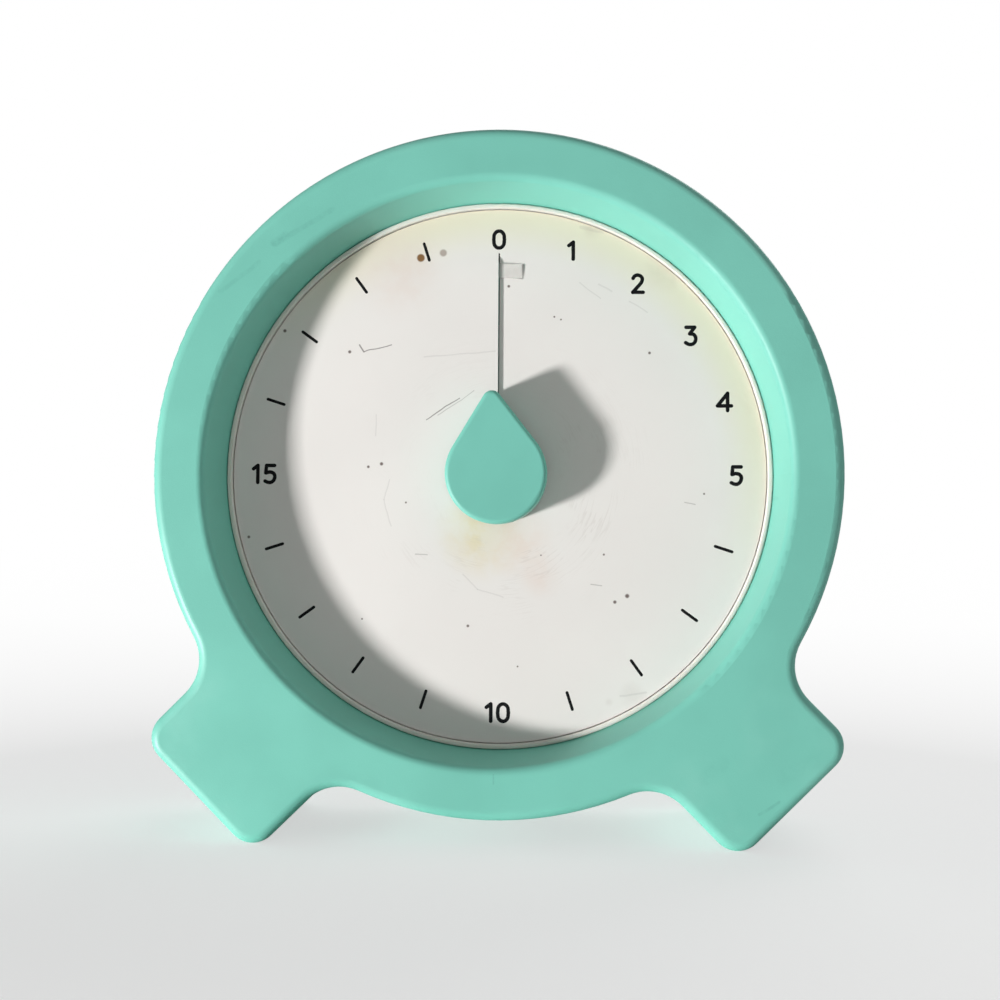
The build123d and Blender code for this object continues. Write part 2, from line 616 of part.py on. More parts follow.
def knob():
    outline = Rot(0, 0, KNOB_LEAN) * teardrop(KNOB_RADIUS, KNOB_TIP_RADIUS, KNOB_TIP_REACH)
    body = slab(outline, KNOB_FRONT, KNOB_FRONT - KNOB_UNDERSIDE)
    body = fillet(body.faces().sort_by(Axis.Z)[-1].edges(), KNOB_EDGE_ROUND)
    body -= rod(KNOB_RECESS_RADIUS, KNOB_UNDERSIDE + KNOB_RECESS_DEPTH, KNOB_UNDERSIDE - 1)
    bore = flatted(MAIN_ARBOR_RADIUS, MAIN_ARBOR_FLAT)
    return body - slab(bore, KNOB_FRONT - KNOB_BORE_CEILING, KNOB_FRONT)


# ---- Movement: plates and pillars ----


def plate_profile():
    """A round plate with a scallop midway between each two pillars."""
    profile = Circle(PLATE_RADIUS)
    for angle in PILLAR_ANGLES:
        centre = polar(PLATE_RADIUS + SCALLOP_OFFSET, angle + 180 / len(PILLAR_ANGLES))
        profile -= Pos(*centre) * Circle(SCALLOP_RADIUS)
    return profile


def plate(front, main_hole, pierced):
    """One movement plate with its pivot holes and pillar holes."""
    profile = plate_profile() - Circle(main_hole + RUNNING_CLEARANCE)
    for axis in (SECOND_AXIS, THIRD_AXIS, ESCAPE_AXIS, PALLET_AXIS):
        profile -= Pos(*axis) * Circle(PIVOT_RADIUS + RUNNING_CLEARANCE)
    for point in PILLAR_POINTS:
        profile -= Pos(*point) * Circle(SCREW_RADIUS + SCREW_CLEARANCE)
    for axis, radius in pierced:
        profile -= Pos(*axis) * Circle(radius)
    return slab(profile, front, PLATE_THICKNESS)


def plate_pillars():
    """Four pillars with a threaded stub through the front plate and a threaded bore behind."""
    group = []
    for point in PILLAR_POINTS:
        pillar = rod(PILLAR_RADIUS, PLATE_BACK_Z, REAR_PLATE_Z, point)
        pillar += rod(SCREW_RADIUS, FRONT_PLATE_Z + PILLAR_NUT_THICKNESS, PLATE_BACK_Z, point)
        bore = rod(SCREW_RADIUS, REAR_PLATE_Z + MOVEMENT_SCREW_GRIP, REAR_PLATE_Z, point)
        group.append(pillar - bore)
    return Compound(children=group)


def pillar_nuts():
    group = []
    for point in PILLAR_POINTS:
        nut = RegularPolygon(PILLAR_NUT_RADIUS, 6) - Circle(SCREW_RADIUS)
        front = FRONT_PLATE_Z + PILLAR_NUT_THICKNESS
        group.append(Pos(*point) * slab(nut, front, PILLAR_NUT_THICKNESS))
    return Compound(children=group)


# ---- Movement: arbors and wheels ----


def main_arbor():
    steps = [
        (MAIN_ARBOR_RADIUS, KNOB_FRONT - KNOB_BORE_CEILING, PLATE_BACK_Z - END_SHAKE),
        (MAIN_HUB_RADIUS, PLATE_BACK_Z - END_SHAKE, GREAT_WHEEL_Z),
        (MAIN_ARBOR_RADIUS, GREAT_WHEEL_Z, RATCHET_Z - GREAT_THICKNESS),
        (MAIN_HUB_RADIUS, RATCHET_Z - GREAT_THICKNESS, CAM_Z),
        (MAIN_ARBOR_RADIUS, CAM_Z, CAM_Z - WHEEL_THICKNESS),
        (MAIN_HUB_RADIUS, CAM_Z - WHEEL_THICKNESS, REAR_PLATE_Z + END_SHAKE),
        (MAIN_PIVOT_RADIUS, REAR_PLATE_Z + END_SHAKE, REAR_PLATE_BACK_Z),
    ]
    flat_front = KNOB_FRONT - KNOB_BORE_CEILING
    flat = Pos(0, MAIN_ARBOR_FLAT + MAIN_ARBOR_RADIUS) * Rectangle(
        4 * MAIN_ARBOR_RADIUS, 2 * MAIN_ARBOR_RADIUS
    )
    return stepped_arbor(steps) - slab(flat, flat_front, flat_front - FRONT_PLATE_Z - 1)


def plain_arbor(axis):
    """An arbor with a pivot at each end."""
    steps = [
        (PIVOT_RADIUS, FRONT_PLATE_Z, PLATE_BACK_Z - END_SHAKE),
        (ARBOR_RADIUS, PLATE_BACK_Z - END_SHAKE, REAR_PLATE_Z + END_SHAKE),
        (PIVOT_RADIUS, REAR_PLATE_Z + END_SHAKE, REAR_PLATE_BACK_Z),
    ]
    return stepped_arbor(steps, axis)


def train_arbor(axis, mesh_z, teeth, mesh_angle):
    """An arbor with its pinion cut on it. `mesh_angle` points from the wheel that drives the
    pinion, which shows that wheel's tooth a gap."""
    phase = mesh_angle + 180 + 180 / teeth
    leaves = slab(pinion_profile(teeth, phase), mesh_z + PINION_OVERHANG, PINION_LENGTH)
    return plain_arbor(axis) + Pos(*axis) * leaves


def great_wheel():
    profile = wheel_profile(GREAT_TEETH, SECOND_ANGLE) - Circle(MAIN_ARBOR_RADIUS)
    return slab(profile, GREAT_WHEEL_Z, GREAT_THICKNESS)


def train_wheel(axis, teeth, mesh_angle, wheel_z):
    """A spoked wheel with a tooth on the line at `mesh_angle`, towards its pinion."""
    profile = spoked(
        wheel_profile(teeth, mesh_angle),
        ARBOR_RADIUS,
        WHEEL_HUB_RADIUS,
        MODULE * teeth / 2 - WHEEL_RIM,
        WHEEL_SPOKES,
    )
    return Pos(*axis) * slab(profile, wheel_z, WHEEL_THICKNESS)


def ratchet_wheel():
    points = []
    for index in range(RATCHET_TEETH):
        angle = 360.0 / RATCHET_TEETH * index
        points.append(polar(RATCHET_RADIUS, angle))
        points.append(polar(RATCHET_RADIUS - RATCHET_TOOTH_DEPTH, angle + RATCHET_UNDERCUT))
    profile = make_face(Polyline(*points, close=True)) - Circle(MAIN_ARBOR_RADIUS)
    return slab(profile, RATCHET_Z, GREAT_THICKNESS)


def escape_wheel():
    """Pointed teeth, with a tip on the line to the pallet arbor."""
    pitch = 360.0 / ESCAPE_TEETH
    root = ESCAPE_RADIUS - ESCAPE_TOOTH_DEPTH
    points = []
    for index in range(ESCAPE_TEETH):
        tip = PALLET_ANGLE + pitch * index
        points.append(polar(root, tip - ESCAPE_ROOT_SHARE * pitch / 2))
        points.append(polar(ESCAPE_RADIUS, tip - ESCAPE_TIP_SHARE * pitch / 2))
        points.append(polar(ESCAPE_RADIUS, tip + ESCAPE_TIP_SHARE * pitch / 2))
        points.append(polar(root, tip + ESCAPE_ROOT_SHARE * pitch / 2))
    profile = make_face(Polyline(*points, close=True))
    profile = spoked(profile, ARBOR_RADIUS, ESCAPE_HUB_RADIUS, root - ESCAPE_RIM, ESCAPE_SPOKES)
    return Pos(*ESCAPE_AXIS) * slab(profile, ESCAPE_WHEEL_Z, WHEEL_THICKNESS)


def click():
    """The pawl that lets the arbor be wound past the great wheel. Its nose stands at the steep
    side of a ratchet tooth."""
    pivot_angle = CLICK_ANGLE + CLICK_PIVOT_TURN
    pivot = polar(CLICK_PIVOT_REACH, pivot_angle)
    nose = RATCHET_RADIUS - RATCHET_TOOTH_DEPTH / 2 - CLICK_CLEARANCE
    lever = Polyline(
        polar(nose, CLICK_ANGLE + CLICK_NOSE_TURN),
        polar(nose + CLICK_NOSE_DEPTH, CLICK_ANGLE + CLICK_TIP_TURN),
        polar(CLICK_PIVOT_REACH + CLICK_HUB_RADIUS, pivot_angle),
        polar(CLICK_PIVOT_REACH - CLICK_HUB_RADIUS, pivot_angle),
        close=True,
    )
    profile = make_face(lever) + Pos(*pivot) * Circle(CLICK_HUB_RADIUS)
    return slab(profile, RATCHET_Z, GREAT_THICKNESS)


def click_spring():
    """A leaf bent round the click's hub, held by a post on the great wheel."""
    inner = CLICK_PIVOT_REACH + CLICK_HUB_RADIUS
    leaf = Circle(inner + SPRING_LEAF) - Circle(inner)
    start = CLICK_ANGLE + CLICK_SPRING_TURN
    end = start + CLICK_SPRING_SWEEP
    wedge = Polyline(
        (0, 0),
        polar(2 * inner, start),
        polar(2 * inner, (start + end) / 2),
        polar(2 * inner, end),
        close=True,
    )
    post = Pos(*polar(inner + SPRING_LEAF / 2, end)) * Circle(CLICK_POST_RADIUS)
    return slab((leaf & make_face(wedge)) + post, RATCHET_Z, GREAT_THICKNESS)


def trip_cam():
    """The cam that lets the hammer fall as the knob reaches zero."""
    notch = Pos(*polar(CAM_RADIUS, CLICK_ANGLE)) * Circle(CAM_NOTCH)
    return slab(Circle(CAM_RADIUS) - notch - Circle(MAIN_ARBOR_RADIUS), CAM_Z, WHEEL_THICKNESS)


def mainspring():
    """A flat spiral of half rings whose centres alternate, so that it grows by two steps a turn."""
    strip = None
    for index in range(SPRING_HALF_TURNS):
        radius = SPRING_INNER_RADIUS + SPRING_STEP * index
        lower = index % 2
        half = Circle(radius + SPRING_LEAF / 2) - Circle(radius - SPRING_LEAF / 2)
        side = Pos(0, -radius if lower else radius) * Rectangle(4 * radius, 2 * radius)
        half = Pos(SPRING_STEP * lower, 0) * (half & side)
        strip = half if strip is None else strip + half
    return slab(strip, SPRING_Z, SPRING_HEIGHT)


def mainspring_post():
    reach = SPRING_INNER_RADIUS + SPRING_STEP * SPRING_HALF_TURNS + SPRING_LEAF / 2
    centre = (reach + SPRING_POST_RADIUS, 0)
    return rod(SPRING_POST_RADIUS, SPRING_Z, REAR_PLATE_Z, centre)


def pallet_pin_points():
    half_span = 180.0 / ESCAPE_TEETH * PALLET_SPAN
    reach = ESCAPE_RADIUS + PALLET_PIN_RADIUS + PALLET_PIN_CLEARANCE
    return [
        polar(reach, PALLET_ANGLE - half_span, ESCAPE_AXIS),
        polar(reach, PALLET_ANGLE + half_span, ESCAPE_AXIS),
    ]


def pallet_lever():
    """The rocking anchor, behind the escape wheel, that carries the two pins."""
    profile = Pos(*PALLET_AXIS) * Circle(PALLET_HUB_RADIUS)
    for pin in pallet_pin_points():
        dx = pin[0] - PALLET_AXIS[0]
        dy = pin[1] - PALLET_AXIS[1]
        arm = teardrop(PALLET_HUB_RADIUS, PALLET_NOSE_RADIUS, hypot(dx, dy) + PALLET_NOSE_RADIUS)
        profile += Pos(*PALLET_AXIS) * Rot(0, 0, degrees(atan2(dy, dx)) - 90) * arm
    profile -= Pos(*PALLET_AXIS) * Circle(ARBOR_RADIUS)
    return slab(profile, PALLET_Z, WHEEL_THICKNESS)


def pallet_pins():
    pins = [rod(PALLET_PIN_RADIUS, ESCAPE_WHEEL_Z, PALLET_Z, pin) for pin in pallet_pin_points()]
    return Compound(children=pins)


def inertia_bar():
    """The bar whose swing sets the beat."""
    bar = SlotOverall(INERTIA_BAR_LENGTH, INERTIA_BAR_WIDTH)
    direction = degrees(atan2(PALLET_AXIS[1], PALLET_AXIS[0]))
    profile = Pos(*PALLET_AXIS) * Rot(0, 0, direction) * bar
    profile -= Pos(*PALLET_AXIS) * Circle(ARBOR_RADIUS)
    return slab(profile, INERTIA_BAR_Z, WHEEL_THICKNESS)


# ---- Bell and hammer ----


def bell():
    cup = rod(BELL_RADIUS, BELL_RIM_Z, BELL_CROWN_Z)
    cup = fillet(cup.edges().sort_by(Axis.Z)[0], BELL_CROWN_ROUND)
    hollow = rod(BELL_RADIUS - BELL_WALL, BELL_RIM_Z, BELL_CROWN_Z + BELL_WALL)
    hollow = fillet(hollow.edges().sort_by(Axis.Z)[0], BELL_CROWN_ROUND - BELL_WALL)
    cup -= hollow
    cup -= rod(BELL_STUD_RADIUS, BELL_RIM_Z, BELL_CROWN_Z)
    return Pos(*BELL_CENTRE) * cup


def bell_stud():
    steps = [
        (BELL_STUD_RADIUS, REAR_PLATE_Z, REAR_PLATE_BACK_Z),
        (BELL_STUD_SHOULDER, REAR_PLATE_BACK_Z, BELL_CROWN_Z + BELL_WALL),
        (BELL_STUD_RADIUS, BELL_CROWN_Z + BELL_WALL, BELL_CROWN_Z - BELL_NUT_THICKNESS),
    ]
    return stepped_arbor(steps, BELL_CENTRE)


def bell_nut():
    nut = RegularPolygon(BELL_NUT_RADIUS, 6) - Circle(BELL_STUD_RADIUS)
    return Pos(*BELL_CENTRE) * slab(nut, BELL_CROWN_Z, BELL_NUT_THICKNESS)


def hammer_arbor():
    steps = [
        (PIVOT_RADIUS, FRONT_PLATE_Z, PLATE_BACK_Z - END_SHAKE),
        (ARBOR_RADIUS, PLATE_BACK_Z - END_SHAKE, HAMMER_ARM_Z - HAMMER_ARM_THICKNESS),
    ]
    return stepped_arbor(steps, HAMMER_PIVOT)


def hammer_arm():
    dx = HAMMER_HEAD_POINT[0] - HAMMER_PIVOT[0]
    dy = HAMMER_HEAD_POINT[1] - HAMMER_PIVOT[1]
    middle = Pos(HAMMER_PIVOT[0] + dx / 2, HAMMER_PIVOT[1] + dy / 2)
    arm = middle * Rot(0, 0, degrees(atan2(dy, dx))) * SlotCenterToCenter(
        hypot(dx, dy), HAMMER_ARM_WIDTH
    )
    profile = arm + Pos(*HAMMER_PIVOT) * Circle(HAMMER_HUB_RADIUS)
    profile -= Pos(*HAMMER_PIVOT) * Circle(ARBOR_RADIUS)
    return slab(profile, HAMMER_ARM_Z, HAMMER_ARM_THICKNESS)


def hammer_head():
    front = HAMMER_ARM_Z + HAMMER_HEAD_LENGTH
    head = rod(HAMMER_HEAD_RADIUS, front, HAMMER_ARM_Z, HAMMER_HEAD_POINT)
    return chamfer(head.edges().sort_by(Axis.Z)[-1], HAMMER_HEAD_CHAMFER)


def trip_lever():
    """The short lever between the plates that the cam lifts."""
    reach = hypot(*HAMMER_PIVOT) - CAM_RADIUS - TRIP_CLEARANCE
    direction = degrees(atan2(-HAMMER_PIVOT[1], -HAMMER_PIVOT[0]))
    blade = Pos(reach / 2, 0) * Rectangle(reach, TRIP_LEVER_WIDTH) + Circle(TRIP_HUB_RADIUS)
    profile = Rot(0, 0, direction) * (blade - Circle(ARBOR_RADIUS))
    return Pos(*HAMMER_PIVOT) * slab(profile, CAM_Z, WHEEL_THICKNESS)


def hammer_spring():
    """A coil round the hammer's arbor, with one leg on the plate and one beside the arm."""
    coil_radius = ARBOR_RADIUS + HAMMER_SPRING_CLEARANCE + HAMMER_SPRING_WIRE
    first = REAR_PLATE_BACK_Z - HAMMER_SPRING_WIRE
    last = first - HAMMER_SPRING_PITCH * (HAMMER_SPRING_COILS - 1)
    section = None
    for index in range(HAMMER_SPRING_COILS):
        wire = Pos(coil_radius, first - HAMMER_SPRING_PITCH * index) * Circle(HAMMER_SPRING_WIRE)
        section = wire if section is None else section + wire
    coil = revolve(Plane.XZ * section, Axis.Z)
    leg = rod(HAMMER_SPRING_LEG_WIRE, HAMMER_SPRING_LEG, 0)
    coil += Pos(0, coil_radius, first) * Rot(0, -90, 0) * leg
    coil += Pos(-coil_radius, 0, last) * Rot(-90, 0, 0) * leg
    return Pos(*HAMMER_PIVOT) * coil


# ---- All the pieces ----

PIECES = {
    "front_case": front_case(),
    "rear_case": rear_case(),
    "case_screws": screws(CASE_SCREW_POINTS, BACK_Z + SCREW_RECESS, PARTING_Z + SCREW_GRIP),
    "dial": dial(),
    "rim_ring": rim_ring(),
    "dial_retaining_ring": dial_retaining_ring(),
    "time_disc": time_disc(),
    "lead_tab": lead_tab(),
    "disc_hub": disc_hub(),
    "knob": knob(),
    "front_plate": plate(
        FRONT_PLATE_Z, MAIN_ARBOR_RADIUS, [(HAMMER_PIVOT, PIVOT_RADIUS + RUNNING_CLEARANCE)]
    ),
    "rear_plate": plate(
        REAR_PLATE_Z,
        MAIN_PIVOT_RADIUS,
        [
            (HAMMER_PIVOT, ARBOR_RADIUS + RUNNING_CLEARANCE),
            (BELL_CENTRE, BELL_STUD_RADIUS),
        ],
    ),
    "plate_pillars": plate_pillars(),
    "pillar_nuts": pillar_nuts(),
    "movement_screws": screws(
        PILLAR_POINTS, BACK_Z + SCREW_RECESS, REAR_PLATE_Z + MOVEMENT_SCREW_GRIP - SCREW_END_ROOM
    ),
    "main_arbor": main_arbor(),
    "great_wheel": great_wheel(),
    "ratchet_wheel": ratchet_wheel(),
    "click": click(),
    "click_spring": click_spring(),
    "trip_cam": trip_cam(),
    "mainspring": mainspring(),
    "mainspring_post": mainspring_post(),
    "second_arbor": train_arbor(SECOND_AXIS, GREAT_WHEEL_Z, SECOND_PINION_TEETH, SECOND_ANGLE),
    "second_wheel": train_wheel(SECOND_AXIS, SECOND_TEETH, THIRD_ANGLE, SECOND_WHEEL_Z),
    "third_arbor": train_arbor(THIRD_AXIS, SECOND_WHEEL_Z, THIRD_PINION_TEETH, THIRD_ANGLE),
    "third_wheel": train_wheel(THIRD_AXIS, THIRD_TEETH, ESCAPE_ANGLE, THIRD_WHEEL_Z),
    "escape_arbor": train_arbor(ESCAPE_AXIS, THIRD_WHEEL_Z, ESCAPE_PINION_TEETH, ESCAPE_ANGLE),
    "escape_wheel": escape_wheel(),
    "pallet_arbor": plain_arbor(PALLET_AXIS),
    "pallet_lever": pallet_lever(),
    "pallet_pins": pallet_pins(),
    "inertia_bar": inertia_bar(),
    "bell": bell(),
    "bell_stud": bell_stud(),
    "bell_nut": bell_nut(),
    "hammer_arbor": hammer_arbor(),
    "hammer_arm": hammer_arm(),
    "hammer_head": hammer_head(),
    "trip_lever": trip_lever(),
    "hammer_spring": hammer_spring(),
}

os.makedirs("parts", exist_ok=True)
for name, shape in PIECES.items():
    write_part(name, shape)
print("dial axis at", DIAL_PLANE.origin.Y, round(AXIS_HEIGHT, 3))
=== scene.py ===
# %% [markdown]
# # A clockwork countdown timer, dressed in Blender
#
# The timer is a round mint housing on two splayed feet. A white dial lies at the bottom of a
# shallow bowl, a drop-shaped knob winds it, and a coloured disc screws out through a slit at
# zero. The solid parts already exist as CAD bodies. This lesson gives each of them its finish,
# prints the dial, and sets up the floor, the lamps and the camera.

# %% Load the solid parts
import json
from math import cos, pi, radians, sin

import bpy
from mathutils import Matrix, Vector


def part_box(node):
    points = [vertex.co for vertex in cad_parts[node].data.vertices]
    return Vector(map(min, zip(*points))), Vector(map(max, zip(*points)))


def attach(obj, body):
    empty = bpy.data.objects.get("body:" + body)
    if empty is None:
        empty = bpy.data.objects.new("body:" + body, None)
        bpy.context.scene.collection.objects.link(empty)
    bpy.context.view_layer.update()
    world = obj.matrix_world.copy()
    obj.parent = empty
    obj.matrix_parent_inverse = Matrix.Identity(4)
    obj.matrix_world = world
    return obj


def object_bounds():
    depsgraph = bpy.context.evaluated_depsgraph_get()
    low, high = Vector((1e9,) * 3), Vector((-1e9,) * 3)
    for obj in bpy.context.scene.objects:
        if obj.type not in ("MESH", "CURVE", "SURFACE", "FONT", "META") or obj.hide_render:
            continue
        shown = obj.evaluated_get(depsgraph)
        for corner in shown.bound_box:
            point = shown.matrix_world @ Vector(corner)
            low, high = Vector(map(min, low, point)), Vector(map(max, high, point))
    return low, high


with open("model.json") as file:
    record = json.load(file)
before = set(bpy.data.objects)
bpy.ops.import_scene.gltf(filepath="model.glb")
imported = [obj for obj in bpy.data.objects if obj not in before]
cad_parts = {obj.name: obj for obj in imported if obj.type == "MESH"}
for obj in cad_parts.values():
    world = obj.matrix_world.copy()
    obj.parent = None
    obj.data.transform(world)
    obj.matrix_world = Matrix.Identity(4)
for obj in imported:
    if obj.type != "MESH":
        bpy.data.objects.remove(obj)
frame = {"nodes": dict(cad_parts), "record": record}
cad_low, cad_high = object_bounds()
MM = 0.001
overall = [round(side / MM, 2) for side in cad_high - cad_low]
print("solid parts:", len(frame["nodes"]), "overall mm:", overall)

# %% [markdown]
# ## Where the dial is
#
# Everything printed or worn on the dial is easiest to place in the dial's own terms:
# millimetres to the right of its middle, millimetres up, and millimetres out of its face. The
# thin white ring round the dial gives the middle, and the ring stands 0.8 mm proud of the face.

# %% Find the dial
ring_low, ring_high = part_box("rim_ring")
RIM_RING_HEIGHT = 0.8
DIAL_CENTRE = Vector(
    (
        (ring_low.x + ring_high.x) / 2,
        ring_low.y + RIM_RING_HEIGHT * MM,
        (ring_low.z + ring_high.z) / 2,
    )
)
RING_RADIUS = (cad_high.z - DIAL_CENTRE.z) / MM
MINUTES_ROUND = 20


def on_dial(right, up, out=0.0):
    """A point given in millimetres from the middle of the dial's face."""
    return DIAL_CENTRE + Vector((right, -out, up)) * MM


def clock_point(minute, radius, out=0.0):
    """A point at a minute mark, at a radius in millimetres."""
    angle = 2 * pi * minute / MINUTES_ROUND
    return on_dial(radius * sin(angle), radius * cos(angle), out)


print("dial centre mm:", [round(part / MM, 3) for part in DIAL_CENTRE])
print("housing radius mm:", round(RING_RADIUS, 2))

# %% [markdown]
# ## The printed figures, as strokes
#
# The figures on the real dial are pad-printed in black: an even stroke with soft ends, a "1"
# with a flag, a "3" with a flat top. A text object would bring the shapes of one font, so each
# figure is drawn here as a few strokes, the way a sign writer would. A smooth Bezier curve runs
# through the points of a stroke, a round bevel gives it width, and a small ball closes each end.
# Points are shares of the figure's height, measured from the middle of its foot.

# %% The strokes of each figure
FIGURE_STROKES = {
    "0": [[(-0.315, 0.5), (-0.24, 0.86), (0.0, 1.0), (0.24, 0.86), (0.315, 0.5)],
          [(0.315, 0.5), (0.24, 0.14), (0.0, 0.0), (-0.24, 0.14), (-0.315, 0.5)]],
    "1": [[(0.08, 1.0), (0.08, 0.0)], [(0.08, 1.0), (-0.18, 0.80)]],
    "2": [[(-0.28, 0.82), (-0.16, 0.97), (0.06, 0.99), (0.24, 0.84), (0.22, 0.62), (0.10, 0.44)],
          [(0.10, 0.44), (-0.30, 0.0)], [(-0.30, 0.0), (0.31, 0.0)]],
    "3": [[(-0.26, 1.0), (0.24, 1.0)], [(0.24, 1.0), (-0.05, 0.62)],
          [(-0.05, 0.62), (0.20, 0.56), (0.30, 0.32), (0.18, 0.06), (-0.06, 0.0), (-0.28, 0.10)]],
    "4": [[(0.18, 1.0), (-0.40, 0.27)], [(-0.40, 0.27), (0.40, 0.27)], [(0.18, 1.0), (0.18, 0.0)]],
    "5": [[(0.28, 1.0), (-0.20, 1.0)], [(-0.20, 1.0), (-0.24, 0.56)],
          [(-0.24, 0.56), (0.02, 0.61), (0.25, 0.50), (0.28, 0.24), (0.12, 0.03), (-0.08, 0.0),
           (-0.28, 0.08)]],
}
print("figures drawn:", " ".join(FIGURE_STROKES))

# %% [markdown]
# An operator acts on everything that is selected, and the imported parts come in selected, so
# each step starts by deselecting. A stroke is laid out flat in the XZ plane, so that it faces
# the viewer of the dial, and is only then carried to its place.

# %% Draw one stroke
STROKE_ROUNDNESS = 2        # steps round a quarter of a stroke
STROKE_STEPS = 8            # steps from one point of a stroke to the next
BALL_SEGMENTS, BALL_RINGS = 12, 8


def only(*things):
    """Selects these objects and nothing else, with the first one active."""
    bpy.ops.object.select_all(action="DESELECT")
    for thing in things:
        thing.select_set(True)
    bpy.context.view_layer.objects.active = things[0]


def draw_stroke(points, width):
    """A round-ended stroke through points given in metres, as one mesh."""
    bpy.ops.object.select_all(action="DESELECT")
    bpy.ops.curve.primitive_bezier_curve_add()
    line = bpy.context.object
    line.data.bevel_depth = width / 2
    line.data.bevel_resolution = STROKE_ROUNDNESS
    line.data.resolution_u = STROKE_STEPS
    line.data.use_fill_caps = True
    spline = line.data.splines[0]
    spline.bezier_points.add(len(points) - 2)
    for knot, (x, z) in zip(spline.bezier_points, points):
        knot.co = (x, 0, z)
        knot.handle_left_type = knot.handle_right_type = "AUTO"
    bpy.ops.object.convert(target="MESH")
    parts = [bpy.context.object]
    for x, z in (points[0], points[-1]):
        bpy.ops.mesh.primitive_uv_sphere_add(
            segments=BALL_SEGMENTS, ring_count=BALL_RINGS, radius=width / 2, location=(x, 0, z)
        )
        bpy.ops.object.transform_apply(location=True, rotation=True, scale=True)
        parts.append(bpy.context.object)
    only(*parts)
    bpy.ops.object.join()
    return bpy.context.object


def carry(piece, place, turn=0.0):
    """Moves a drawn piece from the origin to its place, turned clockwise on the dial."""
    piece.data.transform(Matrix.Translation(place) @ Matrix.Rotation(turn, 4, "Y"))
    return piece


# %% [markdown]
# Each figure's strokes are carried to the minute they belong to. The figures stand upright all
# round the dial, as they do on the real one, and "10" and "15" are two figures side by side.

# %% Print the figures
FIGURE_HEIGHT = 3.1         # between the middles of the top and bottom strokes, in mm
FIGURE_STROKE = 0.67
FIGURE_CIRCLE = 42.8
TWO_FIGURE_SPACING = 2.45
INK_THICKNESS = 0.08

figures = []
for minute in (0, 1, 2, 3, 4, 5, 10, 15):
    digits = str(minute)
    for index, digit in enumerate(digits):
        aside = (index - (len(digits) - 1) / 2) * TWO_FIGURE_SPACING
        foot = clock_point(minute, FIGURE_CIRCLE) + Vector((aside, 0, -FIGURE_HEIGHT / 2)) * MM
        for strokes in FIGURE_STROKES[digit]:
            points = [(x * FIGURE_HEIGHT * MM, z * FIGURE_HEIGHT * MM) for x, z in strokes]
            figures.append(carry(draw_stroke(points, FIGURE_STROKE * MM), foot))
print("strokes in the figures:", len(figures))

# %% [markdown]
# The other minutes have a short radial tick. One tick is drawn, and each of the others is the
# same stroke, turned about the middle of the dial to its own minute.

# %% Print the ticks
TICK_CIRCLE = 42.66
TICK_LENGTH = 3.15
TICK_STROKE = 0.54
TICK_MINUTES = [minute for minute in range(6, MINUTES_ROUND) if minute % 5]

ticks = []
for minute in TICK_MINUTES:
    half = TICK_LENGTH / 2 * MM
    tick = draw_stroke([(0, -half), (0, half)], TICK_STROKE * MM)
    ticks.append(carry(tick, clock_point(minute, TICK_CIRCLE), 2 * pi * minute / MINUTES_ROUND))
print("ticks:", len(ticks))

# %% [markdown]
# Ink has almost no height. All strokes are joined, and flattened towards the dial's face until
# they stand as high as a coat of ink. Half of that is sunk in the dial, so no light gets under it.

# %% Flatten the print
only(*figures, *ticks)
bpy.ops.object.join()
dial_print = bpy.context.object
dial_print.name = dial_print.data.name = "dial_print"
flatten = Matrix.Scale(INK_THICKNESS / FIGURE_STROKE, 4, (0, 1, 0))
to_face = Matrix.Translation(DIAL_CENTRE)
dial_print.data.transform(to_face @ flatten @ to_face.inverted())
only(dial_print)
bpy.ops.object.shade_smooth()
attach(dial_print, "case")
print("dial_print faces:", len(dial_print.data.polygons))

# %% [markdown]
# ## Small helpers for node trees
#
# Every finish below is a tree of shader nodes. These few functions add a node, wire it, and do
# arithmetic, so that the cells that follow can be read as a description of the finish.

# %% Node helpers
def add(tree, kind, **settings):
    node = tree.nodes.new(kind)
    for name, value in settings.items():
        setattr(node, name, value)
    return node


def feed(tree, source, socket):
    """Wires a socket into another, or types a plain value in."""
    if isinstance(source, bpy.types.NodeSocket):
        tree.links.new(source, socket)
    else:
        socket.default_value = source


def maths(tree, operation, first, second=0.0):
    node = add(tree, "ShaderNodeMath", operation=operation)
    feed(tree, first, node.inputs[0])
    feed(tree, second, node.inputs[1])
    return node.outputs[0]


def vectors(tree, operation, first, second=(0.0, 0.0, 0.0)):
    node = add(tree, "ShaderNodeVectorMath", operation=operation)
    feed(tree, first, node.inputs[0])
    feed(tree, second, node.inputs[1])
    return node.outputs["Value" if operation in ("LENGTH", "DOT_PRODUCT") else "Vector"]


def ramp(tree, value, low, high, to_low=0.0, to_high=1.0):
    """A soft step: to_low below low, to_high above high."""
    node = add(tree, "ShaderNodeMapRange", interpolation_type="SMOOTHSTEP")
    for source, name in zip(
        (value, low, high, to_low, to_high), ("Value", "From Min", "From Max", "To Min", "To Max")
    ):
        feed(tree, source, node.inputs[name])
    return node.outputs["Result"]


# A Mix node has a set of sockets for each kind of data, and the sets share their names.
VECTOR_A, VECTOR_B, VECTOR_RESULT = 4, 5, 1
COLOUR_A, COLOUR_B, COLOUR_RESULT = 6, 7, 2


def blend_colour(tree, share, first, second):
    """The first colour where share is 0, the second where it is 1."""
    node = add(tree, "ShaderNodeMix", data_type="RGBA")
    feed(tree, share, node.inputs["Factor"])
    feed(tree, first, node.inputs[COLOUR_A])
    feed(tree, second, node.inputs[COLOUR_B])
    return node.outputs[COLOUR_RESULT]


def noise(tree, place, scale, detail=2.0, roughness=0.5):
    node = add(tree, "ShaderNodeTexNoise")
    feed(tree, place, node.inputs["Vector"])
    feed(tree, scale, node.inputs["Scale"])
    node.inputs["Detail"].default_value = detail
    node.inputs["Roughness"].default_value = roughness
    return node.outputs["Fac"]


